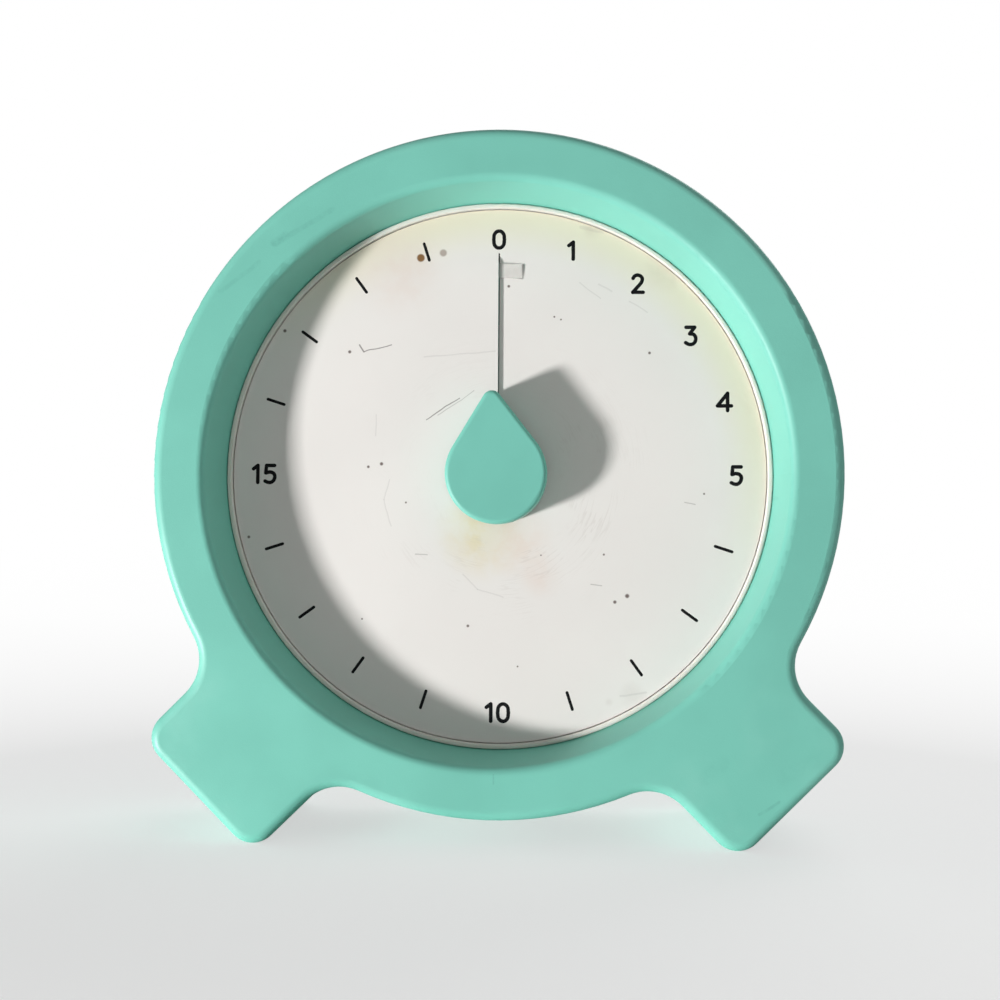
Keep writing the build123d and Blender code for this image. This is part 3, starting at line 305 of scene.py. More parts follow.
def object_place(tree):
    return add(tree, "ShaderNodeTexCoord").outputs["Object"]


# %% [markdown]
# A shader group is a tree with named sockets that several materials share. `new_group` makes
# the sockets, and `use` puts the group into a tree with that material's own values.

# %% Group helpers
SOCKET_KINDS = {"float": "NodeSocketFloat", "vector": "NodeSocketVector"}


def new_group(name, inputs, outputs):
    """An empty group with float or vector inputs and float outputs, and its two end nodes."""
    tree = bpy.data.node_groups.new(name, "ShaderNodeTree")
    for socket, kind in inputs.items():
        tree.interface.new_socket(socket, in_out="INPUT", socket_type=SOCKET_KINDS[kind])
    for socket in outputs:
        tree.interface.new_socket(socket, in_out="OUTPUT", socket_type="NodeSocketFloat")
    return tree, tree.nodes.new("NodeGroupInput").outputs, tree.nodes.new("NodeGroupOutput").inputs


def use(tree, group, **values):
    """The group in a tree. Underscores in a name stand for spaces."""
    node = add(tree, "ShaderNodeGroup", node_tree=group)
    for name, value in values.items():
        feed(tree, value, node.inputs[name.replace("_", " ").capitalize()])
    return node.outputs


# %% [markdown]
# ### Moulded skin
#
# A plastic moulding copies the fine spark-eroded grain of its mould, and its colour drifts
# a little where the melt flowed and cooled. Two sizes of noise give both: the fine one becomes
# a height for a Bump node, and the coarse one a drift for colour and gloss.

# %% Group: moulded skin
skin, given, made = new_group(
    "Moulded skin", {"Grain size": "float", "Drift size": "float"}, ["Height", "Drift"]
)
place = object_place(skin)
grain_scale = maths(skin, "DIVIDE", 1.0, given["Grain size"])
grain = noise(skin, place, grain_scale, detail=3.0, roughness=0.6)
drift = noise(skin, place, maths(skin, "DIVIDE", 1.0, given["Drift size"]), detail=3.0)
feed(skin, grain, made["Height"])
feed(skin, drift, made["Drift"])

# %% [markdown]
# ### Fine scratches
#
# Handling leaves short, thin, nearly straight scratches in all directions. Noise stretched a
# long way in one direction has long thin crests, and a narrow soft step keeps only their tops.
# A second, coarse noise decides where the surface was rubbed at all.

# %% Group: fine scratches
STRETCH = 14.0
CREST_WIDTH = 0.012         # how far from its middle value the noise still counts as a crest
RUBBED_ABOVE = 0.75         # noise level above which the surface is rubbed, at amount 0
RUBBED_FALL = 0.35          # and how far that level falls at amount 1
PATCH_SOFTNESS = 0.08

scratches, given, made = new_group(
    "Fine scratches", {"Length": "float", "Slant": "vector", "Amount": "float"}, ["Mask"]
)
place = object_place(scratches)
turned_place = add(scratches, "ShaderNodeVectorRotate", rotation_type="EULER_XYZ")
feed(scratches, place, turned_place.inputs["Vector"])
feed(scratches, given["Slant"], turned_place.inputs["Rotation"])
across = vectors(scratches, "MULTIPLY", turned_place.outputs["Vector"], (STRETCH, STRETCH, 1.0))
line_scale = maths(scratches, "DIVIDE", 2.0, given["Length"])
crests = noise(scratches, across, line_scale, detail=1.0)
off_crest = maths(scratches, "ABSOLUTE", maths(scratches, "SUBTRACT", crests, 0.5))
thin = ramp(scratches, off_crest, 0.0, CREST_WIDTH, 1.0, 0.0)
rubbed = noise(scratches, place, maths(scratches, "DIVIDE", 0.6, given["Length"]), detail=2.0)
lowered = maths(scratches, "MULTIPLY", given["Amount"], RUBBED_FALL)
reach = maths(scratches, "SUBTRACT", RUBBED_ABOVE, lowered)
patch = ramp(scratches, rubbed, reach, maths(scratches, "ADD", reach, PATCH_SOFTNESS))
feed(scratches, maths(scratches, "MULTIPLY", thin, patch), made["Mask"])

# %% [markdown]
# ### Specks
#
# Dust and tiny chips are small dots with much space between them. A Voronoi texture gives the
# distance to scattered points, and its random colour leaves most of those points out.

# %% Group: specks
specks, given, made = new_group(
    "Specks", {"Spacing": "float", "Size": "float", "Share": "float"}, ["Mask"]
)
cells = add(specks, "ShaderNodeTexVoronoi", feature="F1")
feed(specks, object_place(specks), cells.inputs["Vector"])
feed(specks, maths(specks, "DIVIDE", 1.0, given["Spacing"]), cells.inputs["Scale"])
cells.inputs["Randomness"].default_value = 1.0
chance = add(specks, "ShaderNodeSeparateColor")
feed(specks, cells.outputs["Color"], chance.inputs[0])
largest = maths(specks, "DIVIDE", given["Size"], given["Spacing"])
dot_size = maths(specks, "MULTIPLY", largest, chance.outputs[1])
dot_core = maths(specks, "MULTIPLY", dot_size, 0.5)
dot = ramp(specks, cells.outputs["Distance"], dot_core, dot_size, 1.0, 0.0)
kept = maths(specks, "LESS_THAN", chance.outputs[0], given["Share"])
feed(specks, maths(specks, "MULTIPLY", dot, kept), made["Mask"])

# %% [markdown]
# ### A spot and a line on the dial
#
# Some marks are in one known place: a drop of dried paint, a pair of scratches. A spot is the
# distance to a point, and a line is the distance to a stretch between two points. Depth is left
# out of both, so the finish that uses them keeps its marks to faces that look forwards. The line
# is given its place from outside, so that all lines of a finish share one bend made by noise.

# %% Group: spot
FACE_ONLY = (1.0, 0.0, 1.0)

spot, given, made = new_group(
    "Spot", {"Centre": "vector", "Radius": "float", "Softness": "float"}, ["Mask"]
)
apart = vectors(spot, "SUBTRACT", object_place(spot), given["Centre"])
distance = vectors(spot, "LENGTH", vectors(spot, "MULTIPLY", apart, FACE_ONLY))
inside = maths(spot, "MULTIPLY", given["Radius"], maths(spot, "SUBTRACT", 1.0, given["Softness"]))
feed(spot, ramp(spot, distance, inside, given["Radius"], 1.0, 0.0), made["Mask"])

# %% Group: line
LINE_CORE = 0.4             # share of a line's width that has its full depth
WAVER = 0.0006
WAVER_SCALE = 260.0

line, given, made = new_group(
    "Line", {"Place": "vector", "Start": "vector", "End": "vector", "Width": "float"}, ["Mask"]
)
to_place = vectors(line, "SUBTRACT", given["Place"], given["Start"])
to_end = vectors(line, "SUBTRACT", given["End"], given["Start"])
from_start = vectors(line, "MULTIPLY", to_place, FACE_ONLY)
whole = vectors(line, "MULTIPLY", to_end, FACE_ONLY)
along = vectors(line, "DOT_PRODUCT", from_start, whole)
share = maths(line, "DIVIDE", along, vectors(line, "DOT_PRODUCT", whole, whole))
clamp = add(line, "ShaderNodeClamp")
feed(line, share, clamp.inputs[0])
scaled = add(line, "ShaderNodeVectorMath", operation="SCALE")
feed(line, whole, scaled.inputs[0])
feed(line, clamp.outputs[0], scaled.inputs["Scale"])
off_line = vectors(line, "LENGTH", vectors(line, "SUBTRACT", from_start, scaled.outputs[0]))
half_width = maths(line, "MULTIPLY", given["Width"], 0.5)
core = maths(line, "MULTIPLY", half_width, LINE_CORE)
feed(line, ramp(line, off_line, core, half_width, 1.0, 0.0), made["Mask"])


def wavering_place(tree):
    """The place on the object, shifted a little by noise, so that a line drawn there bends."""
    place = object_place(tree)
    waver = add(tree, "ShaderNodeTexNoise")
    feed(tree, place, waver.inputs["Vector"])
    waver.inputs["Scale"].default_value = WAVER_SCALE
    shift = vectors(tree, "SUBTRACT", waver.outputs["Color"], (0.5, 0.5, 0.5))
    return vectors(tree, "ADD", place, vectors(tree, "MULTIPLY", shift, (WAVER, 0, WAVER)))


print("shader groups:", [group.name for group in bpy.data.node_groups])

# %% [markdown]
# ### Worked metal
#
# Rolled, turned and stamped metal has fine parallel tool marks and a slow drift of tarnish.

# %% Group: worked metal
TARNISH_SCALE = 180.0

worked, given, made = new_group(
    "Worked metal", {"Grain size": "float", "Stretch": "vector"}, ["Height", "Tarnish"]
)
place = object_place(worked)
fibres = vectors(worked, "MULTIPLY", place, given["Stretch"])
fibre_scale = maths(worked, "DIVIDE", 1.0, given["Grain size"])
feed(worked, noise(worked, fibres, fibre_scale, detail=3.0), made["Height"])
feed(worked, noise(worked, place, TARNISH_SCALE, detail=4.0, roughness=0.6), made["Tarnish"])

# %% [markdown]
# ## The finishes
#
# A finish is one Principled BSDF with something varying its colour, its roughness and its
# surface height. `new_finish` starts one, `bump` gives it relief, and `mark_with` lays one mark
# over the colours so far.

# %% Start a finish
finishes = {}


def new_finish(slot, **plain):
    """A material for one slot. Plain values go straight on the shader's own sockets."""
    material = bpy.data.materials.new(slot)
    material.use_nodes = True
    tree = material.node_tree
    shader = tree.nodes["Principled BSDF"]
    for name, value in plain.items():
        shader.inputs[name.replace("_", " ")].default_value = value
    finishes[slot] = material
    return tree, shader.inputs


def bump(tree, shader, height, depth, strength):
    node = add(tree, "ShaderNodeBump")
    feed(tree, height, node.inputs["Height"])
    node.inputs["Distance"].default_value = depth
    node.inputs["Strength"].default_value = strength
    feed(tree, node.outputs["Normal"], shader["Normal"])
    return node


def mark_with(tree, mask, depth, colours, mark_colour):
    """The colours, turned to the mark's colour by the mask times the depth."""
    return blend_colour(tree, maths(tree, "MULTIPLY", mask, depth), colours, mark_colour)


# Noise is seldom far from 0.5, so a drift runs over a part of its range.
COLOUR_DRIFT = (0.35, 0.65)
GLOSS_DRIFT = (0.3, 0.7)


def drifting(tree, surface, colour, low, high):
    """A colour that drifts between two levels with the surface's coarse noise."""
    share = ramp(tree, surface["Drift"], *COLOUR_DRIFT)
    return blend_colour(tree, share, shade(colour, low), shade(colour, high))


def shade(colour, factor):
    """The same colour, lighter or darker."""
    return tuple(min(1.0, channel * factor) for channel in colour[:3]) + (1.0,)


# %% [markdown]
# ### Mint plastic
#
# The housing is a satin mint moulding. Years of handling show as a faint drift in its colour,
# fine scratches, a few dark specks, and a paler line along the outer edge, where hands and
# table tops rub it. The edge is found by its distance from the dial's axis.

# %% Finish: mint housing
MINT = (0.190, 0.555, 0.455, 1.0)
SCUFF_MINT = (0.125, 0.400, 0.330, 1.0)
WORN_MINT = (0.250, 0.620, 0.520, 1.0)
MINT_DRIFT = 0.035          # how far the colour strays to each side
SKIN_GRAIN = 0.00022
SCRATCH_DEPTH, SPECK_DEPTH = 0.35, 0.45
SCRATCH_SHINE = 0.12        # how much smoother a scratch is
EDGE_START = 57.6           # the worn edge begins here, in mm from the dial's axis
FORWARDS = (0.0, -1.0, 0.0)


def dial_distance(tree):
    """Distance from the dial's axis, in metres."""
    apart = vectors(tree, "SUBTRACT", object_place(tree), tuple(DIAL_CENTRE))
    return vectors(tree, "LENGTH", vectors(tree, "MULTIPLY", apart, FACE_ONLY))


def facing(tree, lowest, highest, most=1.0):
    """0 on a face that looks back or aside, up to most on one that looks forwards."""
    normal = add(tree, "ShaderNodeNewGeometry").outputs["Normal"]
    return ramp(tree, vectors(tree, "DOT_PRODUCT", normal, FORWARDS), lowest, highest, 0.0, most)


def mint_finish(slot, colour, roughness):
    """A mint plastic, wired but for its colour, and the colours that it has so far."""
    tree, shader = new_finish(slot, Specular_IOR_Level=0.42)
    surface = use(tree, skin, grain_size=SKIN_GRAIN, drift_size=0.022)
    colours = drifting(tree, surface, colour, 1 - MINT_DRIFT, 1 + MINT_DRIFT)
    scratched = use(tree, scratches, length=0.009, slant=(0.0, 0.7, 0.3), amount=0.35)["Mask"]
    colours = mark_with(tree, scratched, SCRATCH_DEPTH, colours, WORN_MINT)
    dusty = use(tree, specks, spacing=0.008, size=0.0011, share=0.14)["Mask"]
    colours = mark_with(tree, dusty, SPECK_DEPTH, colours, SCUFF_MINT)
    satin = ramp(tree, surface["Drift"], *GLOSS_DRIFT, roughness - 0.04, roughness + 0.05)
    shine = maths(tree, "MULTIPLY", scratched, SCRATCH_SHINE)
    feed(tree, maths(tree, "SUBTRACT", satin, shine), shader["Roughness"])
    bump(tree, shader, surface["Height"], depth=0.00003, strength=0.5)
    return tree, shader, colours


# From x, y to x, y on the dial, the width, all in mm, and the depth.
HOUSING_SMEARS = {
    "upper left, along the ring": (-28.8, 46.1, -38.9, 40.0, 1.3, 0.34),
    "upper left, smudge": (-38.9, 40.2, -37.0, 41.5, 2.0, 0.34),
    "left, along the ring": (-41.8, 36.8, -48.5, 31.6, 1.1, 0.30),
    "right foot, dark streak": (45.6, -58.4, 48.8, -56.3, 0.7, 0.40),
    "right foot, smudge": (36.4, -52.4, 39.4, -49.8, 3.6, 0.11),
    "right foot, rubbed": (49.5, -52.0, 56.0, -49.0, 4.0, 0.09),
    "right of the bowl": (48.7, -3.4, 49.5, -4.2, 0.9, 0.35),
    "nick under the bowl": (0.2, -52.4, 0.2, -53.9, 0.35, 0.70),
}


def housing_marks(tree):
    """The smears that the housing has in known places, each with its depth."""
    smear = use(tree, skin, grain_size=0.0012, drift_size=0.005)
    broken = ramp(tree, smear["Height"], 0.38, 0.62, 0.35, 1.0)
    on_front = maths(tree, "MULTIPLY", broken, facing(tree, 0.0, 0.3))
    wavering = wavering_place(tree)
    for start_x, start_y, end_x, end_y, width, depth in HOUSING_SMEARS.values():
        start, end = tuple(on_dial(start_x, start_y)), tuple(on_dial(end_x, end_y))
        mark = use(tree, line, place=wavering, start=start, end=end, width=width * MM)["Mask"]
        yield maths(tree, "MULTIPLY", mark, on_front), depth


tree, shader, colours = mint_finish("mint_plastic", MINT, 0.46)
for mark, depth in housing_marks(tree):
    colours = mark_with(tree, mark, depth, colours, SCUFF_MINT)
edge = ramp(tree, dial_distance(tree), EDGE_START * MM, RING_RADIUS * MM)
worn = use(tree, skin, grain_size=0.0009, drift_size=0.012)
edge_worn = maths(tree, "MULTIPLY", edge, ramp(tree, worn["Drift"], 0.45, 0.75, 0.0, 0.5))
feed(tree, blend_colour(tree, edge_worn, colours, WORN_MINT), shader["Base Color"])
print("mint housing nodes:", len(tree.nodes))

# %% [markdown]
# The knob is the same plastic from another mould, with no scuffs in known places.

# %% Finish: mint knob
KNOB_MINT = (0.178, 0.535, 0.442, 1.0)
tree, shader, colours = mint_finish("mint_knob", KNOB_MINT, 0.50)
feed(tree, colours, shader["Base Color"])
print("mint knob nodes:", len(tree.nodes))

# %% [markdown]
# ### The white dial
#
# The dial is a smooth off-white sheet, and it is where the timer shows its age: a yellow stain
# under the knob with a pinkish one beside it, swirls from wiping, pairs of long scratches, crumbs,
# and two round spots near the 19 minute tick, one of brown paint and one grey.

# %% Where the marks on the dial are, in mm from its middle
DIAL_WHITE = (0.818, 0.777, 0.748, 1.0)
STAIN_YELLOW = (0.765, 0.660, 0.470, 1.0)
STAIN_PINK = (0.775, 0.655, 0.590, 1.0)
AGED_WHITE = (0.812, 0.742, 0.590, 1.0)
CRUMB_BROWN = (0.110, 0.070, 0.060, 1.0)
PAINT_BROWN = (0.205, 0.085, 0.012, 1.0)
SPOT_GREY = (0.400, 0.325, 0.285, 1.0)
SCRATCH_GREY = (0.230, 0.200, 0.190, 1.0)

# At x, y, and the radius.
CRUMBS = {
    "left pair, left": (-23.5, 1.35, 0.34),
    "left pair, right": (-21.1, 1.9, 0.42),
    "lower right pair, lower": (21.2, -22.8, 0.42),
    "lower right pair, upper": (23.4, -21.7, 0.52),
    "below the knob": (-5.2, -27.3, 0.34),
    "far below the knob": (3.8, -34.5, 0.22),
    "left below the knob": (-16.6, -5.1, 0.24),
    "beside the squiggle": (-27.1, 22.3, 0.40),
    "by the 16 minute tick": (-39.1, 26.2, 0.42),
    "right of the tab": (1.8, 34.3, 0.34),
    "upper middle, left": (10.1, 28.7, 0.24),
    "upper middle, right": (11.3, 28.2, 0.22),
    "near the right rim": (37.1, -3.3, 0.26),
    "near the left rim": (-45.3, -11.5, 0.36),
    "upper right": (27.3, 22.1, 0.34),
    "below the knob, right": (7.9, -14.5, 0.20),
    "right of the pink stain": (19.2, -14.3, 0.26),
    "lower left": (-24.4, -26.2, 0.24),
}
DARK, CLEAR, FAINT = 0.85, 0.45, 0.16
# From x, y to x, y, the width, and the depth.
LONG_MARKS = {
    "double scratch, lower": (-12.9, 9.9, -7.1, 13.9, 0.26, DARK),
    "double scratch, upper": (-10.9, 10.7, -4.3, 15.2, 0.20, CLEAR),
    "squiggle, hook": (-25.3, 23.6, -24.5, 22.3, 0.34, DARK),
    "squiggle, tail": (-24.5, 22.3, -19.4, 23.6, 0.26, DARK),
    "long faint line": (-13.4, 21.4, -0.6, 22.3, 0.33, FAINT),
    "short line, lower left": (-14.8, -14.4, -12.6, -14.5, 0.26, CLEAR),
    "short line, right": (33.6, -4.8, 35.5, -5.2, 0.26, CLEAR),
    "upper right, first": (14.6, 34.9, 18.4, 32.0, 0.34, FAINT),
    "upper right, second": (18.2, 34.6, 20.5, 33.3, 0.40, FAINT),
    "upper right, third": (23.7, 31.4, 26.8, 29.5, 0.34, FAINT),
    "left of the knob, upper": (-22.1, 10.8, -22.2, 6.9, 0.30, FAINT),
    "left of the knob, middle": (-19.5, -0.9, -20.6, -4.5, 0.30, FAINT),
    "left of the knob, lower": (-20.6, -4.5, -19.3, -9.4, 0.30, FAINT),
    "under the knob, falling": (-6.1, -18.1, -3.4, -20.8, 0.32, FAINT),
    "under the knob, level": (-3.4, -20.8, 1.1, -22.1, 0.32, FAINT),
    "lower right streak": (22.2, -39.6, 26.8, -38.9, 0.50, FAINT),
    "short line, lower right": (16.9, -19.6, 18.9, -19.9, 0.26, CLEAR),
    "smudge by the 1": (14.9, 45.0, 18.8, 44.1, 0.90, FAINT),
}
SMUDGE_DEPTH = 0.24
# The colour, at x, y, the radius, and the depth.
STAINS = {
    "under the knob, yellow": (STAIN_YELLOW, -2.6, -10.6, 10.0, 1.0),
    "under the knob, pink": (STAIN_PINK, 3.8, -12.2, 8.0, 0.75),
    "pink trace below it": (STAIN_PINK, 8.0, -18.2, 5.0, 0.60),
    "by the two spots": (STAIN_PINK, -18.0, 37.5, 11.0, 0.60),
    "smudge by the 1": (SPOT_GREY, 16.9, 44.6, 2.4, SMUDGE_DEPTH),
    "lower right, small smudge": (SPOT_GREY, 20.2, -40.7, 1.0, SMUDGE_DEPTH),
    "lower right, smudge": (SPOT_GREY, 24.4, -39.3, 3.0, SMUDGE_DEPTH),
    "smudge by the 2": (SPOT_GREY, 30.0, 37.0, 5.0, SMUDGE_DEPTH),
}
# The colour, at x, y, the radius, the softness, and the depth.
TWO_SPOTS = {
    "dried paint": (PAINT_BROWN, -14.25, 39.5, 0.86, 0.35, 0.95),
    "grey": (SPOT_GREY, -10.15, 40.4, 0.82, 0.45, 0.90),
}
print("crumbs:", len(CRUMBS), "long marks:", len(LONG_MARKS), "stains:", len(STAINS))

# %% [markdown]
# The marks are laid over one another in order, like glazes: first the stains, then the swirls
# and scratches, then the crumbs and the two spots on top.

# %% Finish: white dial
STAIN_SOFTNESS = 0.95
CRUMB_SOFTNESS, CRUMB_DEPTH = 0.6, 0.9
WIPED_DEPTH = 0.14
AGED_FROM, AGED_TO = 39.0, 47.5     # radius over which the border ages, in mm
UPPER_RIGHT = (0.45, 0.0, 0.89)
AGEING_FROM, AGEING_TO = -4.0, 34.0     # and the way towards the upper right, in mm

tree, shader = new_finish("dial_white", Specular_IOR_Level=0.45)
surface = use(tree, skin, grain_size=0.0005, drift_size=0.03)
clean = drifting(tree, surface, DIAL_WHITE, 0.975, 1.0)
cloudy = use(tree, skin, grain_size=0.004, drift_size=0.006)
broken = ramp(tree, cloudy["Height"], 0.35, 0.65, 0.5, 1.0)
wavering = wavering_place(tree)


def spot_at(tree, right, up, size, softness):
    """A round spot on the dial, in millimetres."""
    centre = tuple(on_dial(right, up))
    return use(tree, spot, centre=centre, radius=size * MM, softness=softness)["Mask"]


def aged_border(tree):
    """The share of ageing: all of it at the foot of the bowl, most of it on the upper right."""
    outwards = ramp(tree, dial_distance(tree), AGED_FROM * MM, AGED_TO * MM)
    from_middle = vectors(tree, "SUBTRACT", object_place(tree), tuple(DIAL_CENTRE))
    upper_right = vectors(tree, "DOT_PRODUCT", from_middle, UPPER_RIGHT)
    ageing = ramp(tree, upper_right, AGEING_FROM * MM, AGEING_TO * MM)
    return maths(tree, "MULTIPLY", outwards, ageing)


colours = blend_colour(tree, aged_border(tree), clean, AGED_WHITE)
for colour, right, up, size, depth in STAINS.values():
    cloud = maths(tree, "MULTIPLY", spot_at(tree, right, up, size, STAIN_SOFTNESS), broken)
    colours = mark_with(tree, cloud, depth, colours, colour)
wiped = use(tree, scratches, length=0.007, slant=(0.2, 0.9, 0.0), amount=0.25)["Mask"]
colours = mark_with(tree, wiped, WIPED_DEPTH, colours, SPOT_GREY)
for start_x, start_y, end_x, end_y, width, depth in LONG_MARKS.values():
    start, end = tuple(on_dial(start_x, start_y)), tuple(on_dial(end_x, end_y))
    mark = use(tree, line, place=wavering, start=start, end=end, width=width * MM)["Mask"]
    colours = mark_with(tree, mark, depth, colours, SCRATCH_GREY)
for right, up, size in CRUMBS.values():
    crumb = spot_at(tree, right, up, size, CRUMB_SOFTNESS)
    colours = mark_with(tree, crumb, CRUMB_DEPTH, colours, CRUMB_BROWN)
for colour, right, up, size, softness, depth in TWO_SPOTS.values():
    dried = spot_at(tree, right, up, size, softness)
    colours = mark_with(tree, dried, depth, colours, colour)
print("dial nodes so far:", len(tree.nodes))

# %% [markdown]
# Fingers that turn the knob, and cloths that wipe round it, leave short arcs about the dial's
# axis, most of them to the lower right. A noise read with the radius and the angle as its
# coordinates, and squeezed along the radius, has crests that run round in such arcs.

# %% Arcs round the knob
ARC_FINENESS = 1100.0       # crests per metre of radius
ARC_LENGTH = 2.2            # waves per radian
ARC_WIDTH = 0.045           # how far from its middle value the noise still counts as an arc
ARCS_FROM, ARCS_TO = 10.0, 31.0     # radius, in mm
LOWER_RIGHT = (0.6, 0.0, -0.8)
LEANING_FROM, LEANING_TO = -12.0, 16.0
ARC_DEPTH = 0.15
ARC_DULLNESS = 0.10         # how much rougher an arc is

centred = vectors(tree, "SUBTRACT", wavering, tuple(DIAL_CENTRE))
sides = add(tree, "ShaderNodeSeparateXYZ")
feed(tree, centred, sides.inputs[0])
angle = maths(tree, "ARCTAN2", sides.outputs["Z"], sides.outputs["X"])
polar = add(tree, "ShaderNodeCombineXYZ")
feed(tree, maths(tree, "MULTIPLY", dial_distance(tree), ARC_FINENESS), polar.inputs["X"])
feed(tree, maths(tree, "MULTIPLY", angle, ARC_LENGTH), polar.inputs["Y"])
crests = noise(tree, polar.outputs[0], 1.0, detail=2.0)
off_crest = maths(tree, "ABSOLUTE", maths(tree, "SUBTRACT", crests, 0.5))
arcs = ramp(tree, off_crest, 0.0, ARC_WIDTH, 1.0, 0.0)
near = ramp(tree, dial_distance(tree), ARCS_TO * 0.6 * MM, ARCS_TO * MM, 1.0, 0.0)
off_knob = ramp(tree, dial_distance(tree), ARCS_FROM * MM, ARCS_FROM * 1.3 * MM)
lower_right = vectors(tree, "DOT_PRODUCT", centred, LOWER_RIGHT)
leaning = ramp(tree, lower_right, LEANING_FROM * MM, LEANING_TO * MM, 0.25, 1.0)
wiping = use(tree, skin, grain_size=0.006, drift_size=0.009)
rubbed = ramp(tree, wiping["Drift"], 0.47, 0.62)
round_knob = maths(tree, "MULTIPLY", near, off_knob)
zone = maths(tree, "MULTIPLY", round_knob, maths(tree, "MULTIPLY", leaning, rubbed))
swirl = maths(tree, "MULTIPLY", arcs, zone)
marked = mark_with(tree, swirl, ARC_DEPTH, colours, SPOT_GREY)
gloss = ramp(tree, surface["Drift"], *GLOSS_DRIFT, 0.36, 0.44)
dulled = maths(tree, "MULTIPLY", swirl, ARC_DULLNESS)
feed(tree, maths(tree, "ADD", gloss, dulled), shader["Roughness"])
relief = bump(tree, shader, surface["Height"], depth=0.000012, strength=0.35)

# %% [markdown]
# The dial eases from its spiral into a flat border. The real sheet is so smooth that no light
# catches there. A slope that faces nearly forwards is therefore shaded as if it faced straight
# forwards: its normal is mixed with the direction of the dial's axis, and then goes to the Bump
# node.

# %% Shade the face as one flat sheet
STEEP, NEARLY_FLAT = 0.80, 0.90     # cosines of the slope
FLATTENED = 0.9

lean = add(tree, "ShaderNodeMix", data_type="VECTOR")
feed(tree, facing(tree, STEEP, NEARLY_FLAT, FLATTENED), lean.inputs["Factor"])
feed(tree, add(tree, "ShaderNodeNewGeometry").outputs["Normal"], lean.inputs[VECTOR_A])
feed(tree, FORWARDS, lean.inputs[VECTOR_B])
flat_normal = vectors(tree, "NORMALIZE", lean.outputs[VECTOR_RESULT])
feed(tree, flat_normal, relief.inputs["Normal"])

# %% [markdown]
# The back of the sheet was never touched, so the marks are laid on its front only.

# %% Keep the marks on the front
feed(tree, blend_colour(tree, facing(tree, 0.0, 0.3), clean, marked), shader["Base Color"])

# %% [markdown]
# ### The other plastics
#
# The thin ring round the dial is a glossier white that light enters a little. The retaining
# ring behind the dial is dark, the hub is milky acetal, the time disc is tinted film, and the
# lead tab is clear.

# %% Finishes: the other plastics
RING_WHITE = (0.785, 0.735, 0.680, 1.0)
DARK_GREY = (0.040, 0.045, 0.046, 1.0)
DISC_GREEN = (0.060, 0.420, 0.330, 1.0)
HUB_MILK = (0.700, 0.690, 0.650, 1.0)
LIGHT_ENTERING = 0.35
LIGHT_REACH = (0.0012, 0.0010, 0.0008)      # of red, green and blue, in metres


def plain_plastic(slot, colour, roughness, grain_size, drift=0.03):
    tree, shader = new_finish(slot, Specular_IOR_Level=0.45)
    surface = use(tree, skin, grain_size=grain_size, drift_size=0.012)
    feed(tree, drifting(tree, surface, colour, 1 - drift, 1 + drift), shader["Base Color"])
    satin = ramp(tree, surface["Drift"], *GLOSS_DRIFT, roughness - 0.04, roughness + 0.04)
    feed(tree, satin, shader["Roughness"])
    bump(tree, shader, surface["Height"], depth=0.00002, strength=0.4)
    return shader


shader = plain_plastic("ring_white", RING_WHITE, roughness=0.34, grain_size=0.0004)
shader["Subsurface Weight"].default_value = LIGHT_ENTERING
shader["Subsurface Radius"].default_value = LIGHT_REACH
shader["Subsurface Scale"].default_value = 1.0
plain_plastic("dark_plastic", DARK_GREY, roughness=0.55, grain_size=0.0003, drift=0.10)
plain_plastic("disc_colour", DISC_GREEN, roughness=0.34, grain_size=0.0006)
plain_plastic("hub_plastic", HUB_MILK, roughness=0.38, grain_size=0.0005)

# %% [markdown]
# The lead tab is a stiff clear film, gone slightly milky. Light goes straight through so thin a
# sheet, so it needs no refraction: a low Alpha lets the dial show, and lets the lamps reach it.
# Its cut edges get painted shade. They are painted darker, where light runs along inside the film
# and leaves it elsewhere, and darkest at the right end, which stands for the thin shadow that the
# raised end throws on the dial. The edges are found as the outermost part of the tab's own box.

# %% Finish: clear film
FILM_MILK = (0.880, 0.850, 0.820, 1.0)
# The edge colour and the two depths below are painted shade on the tab's cut edges.
FILM_EDGE_SHADE = (0.130, 0.115, 0.110, 1.0)
EDGE_WIDTH = 0.16
END_SHADE, SIDE_SHADE = 0.9, 0.55
SEEN_THROUGH, SEEN_AT_EDGE = 0.30, 0.90

tab_low, tab_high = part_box("lead_tab")
tree, shader = new_finish("clear_film", Specular_IOR_Level=0.40)
surface = use(tree, skin, grain_size=0.0004, drift_size=0.003)
film = drifting(tree, surface, FILM_MILK, 0.98, 1.02)
sides = add(tree, "ShaderNodeSeparateXYZ")
feed(tree, object_place(tree), sides.inputs[0])
across, upwards = sides.outputs["X"], sides.outputs["Z"]
band = EDGE_WIDTH * MM
# Painted shade: darkest along the right end, for the raised end's thin shadow, less at top and
# foot.
from_right = ramp(tree, across, tab_high.x - 2.4 * band, tab_high.x - band, 0.0, END_SHADE)
from_top = ramp(tree, upwards, tab_high.z - 2 * band, tab_high.z, 0.0, SIDE_SHADE)
from_foot = ramp(tree, upwards, tab_low.z, tab_low.z + 2 * band, SIDE_SHADE, 0.0)
edge_shade = maths(tree, "MAXIMUM", from_right, maths(tree, "MAXIMUM", from_top, from_foot))
feed(tree, blend_colour(tree, edge_shade, film, FILM_EDGE_SHADE), shader["Base Color"])
feed(tree, ramp(tree, edge_shade, 0.0, 1.0, SEEN_THROUGH, SEEN_AT_EDGE), shader["Alpha"])
feed(tree, ramp(tree, surface["Drift"], *GLOSS_DRIFT, 0.24, 0.32), shader["Roughness"])
bump(tree, shader, surface["Height"], depth=0.00001, strength=0.3)

# %% [markdown]
# ### Ink
#
# Printed ink is nearly black, a little glossier than the sheet it lies on, and thinner in
# places, so that a trace of the white shows through.

# %% Finish: ink
INK_BLACK = (0.004, 0.004, 0.005, 1.0)
THIN_INK = (0.020, 0.019, 0.019, 1.0)

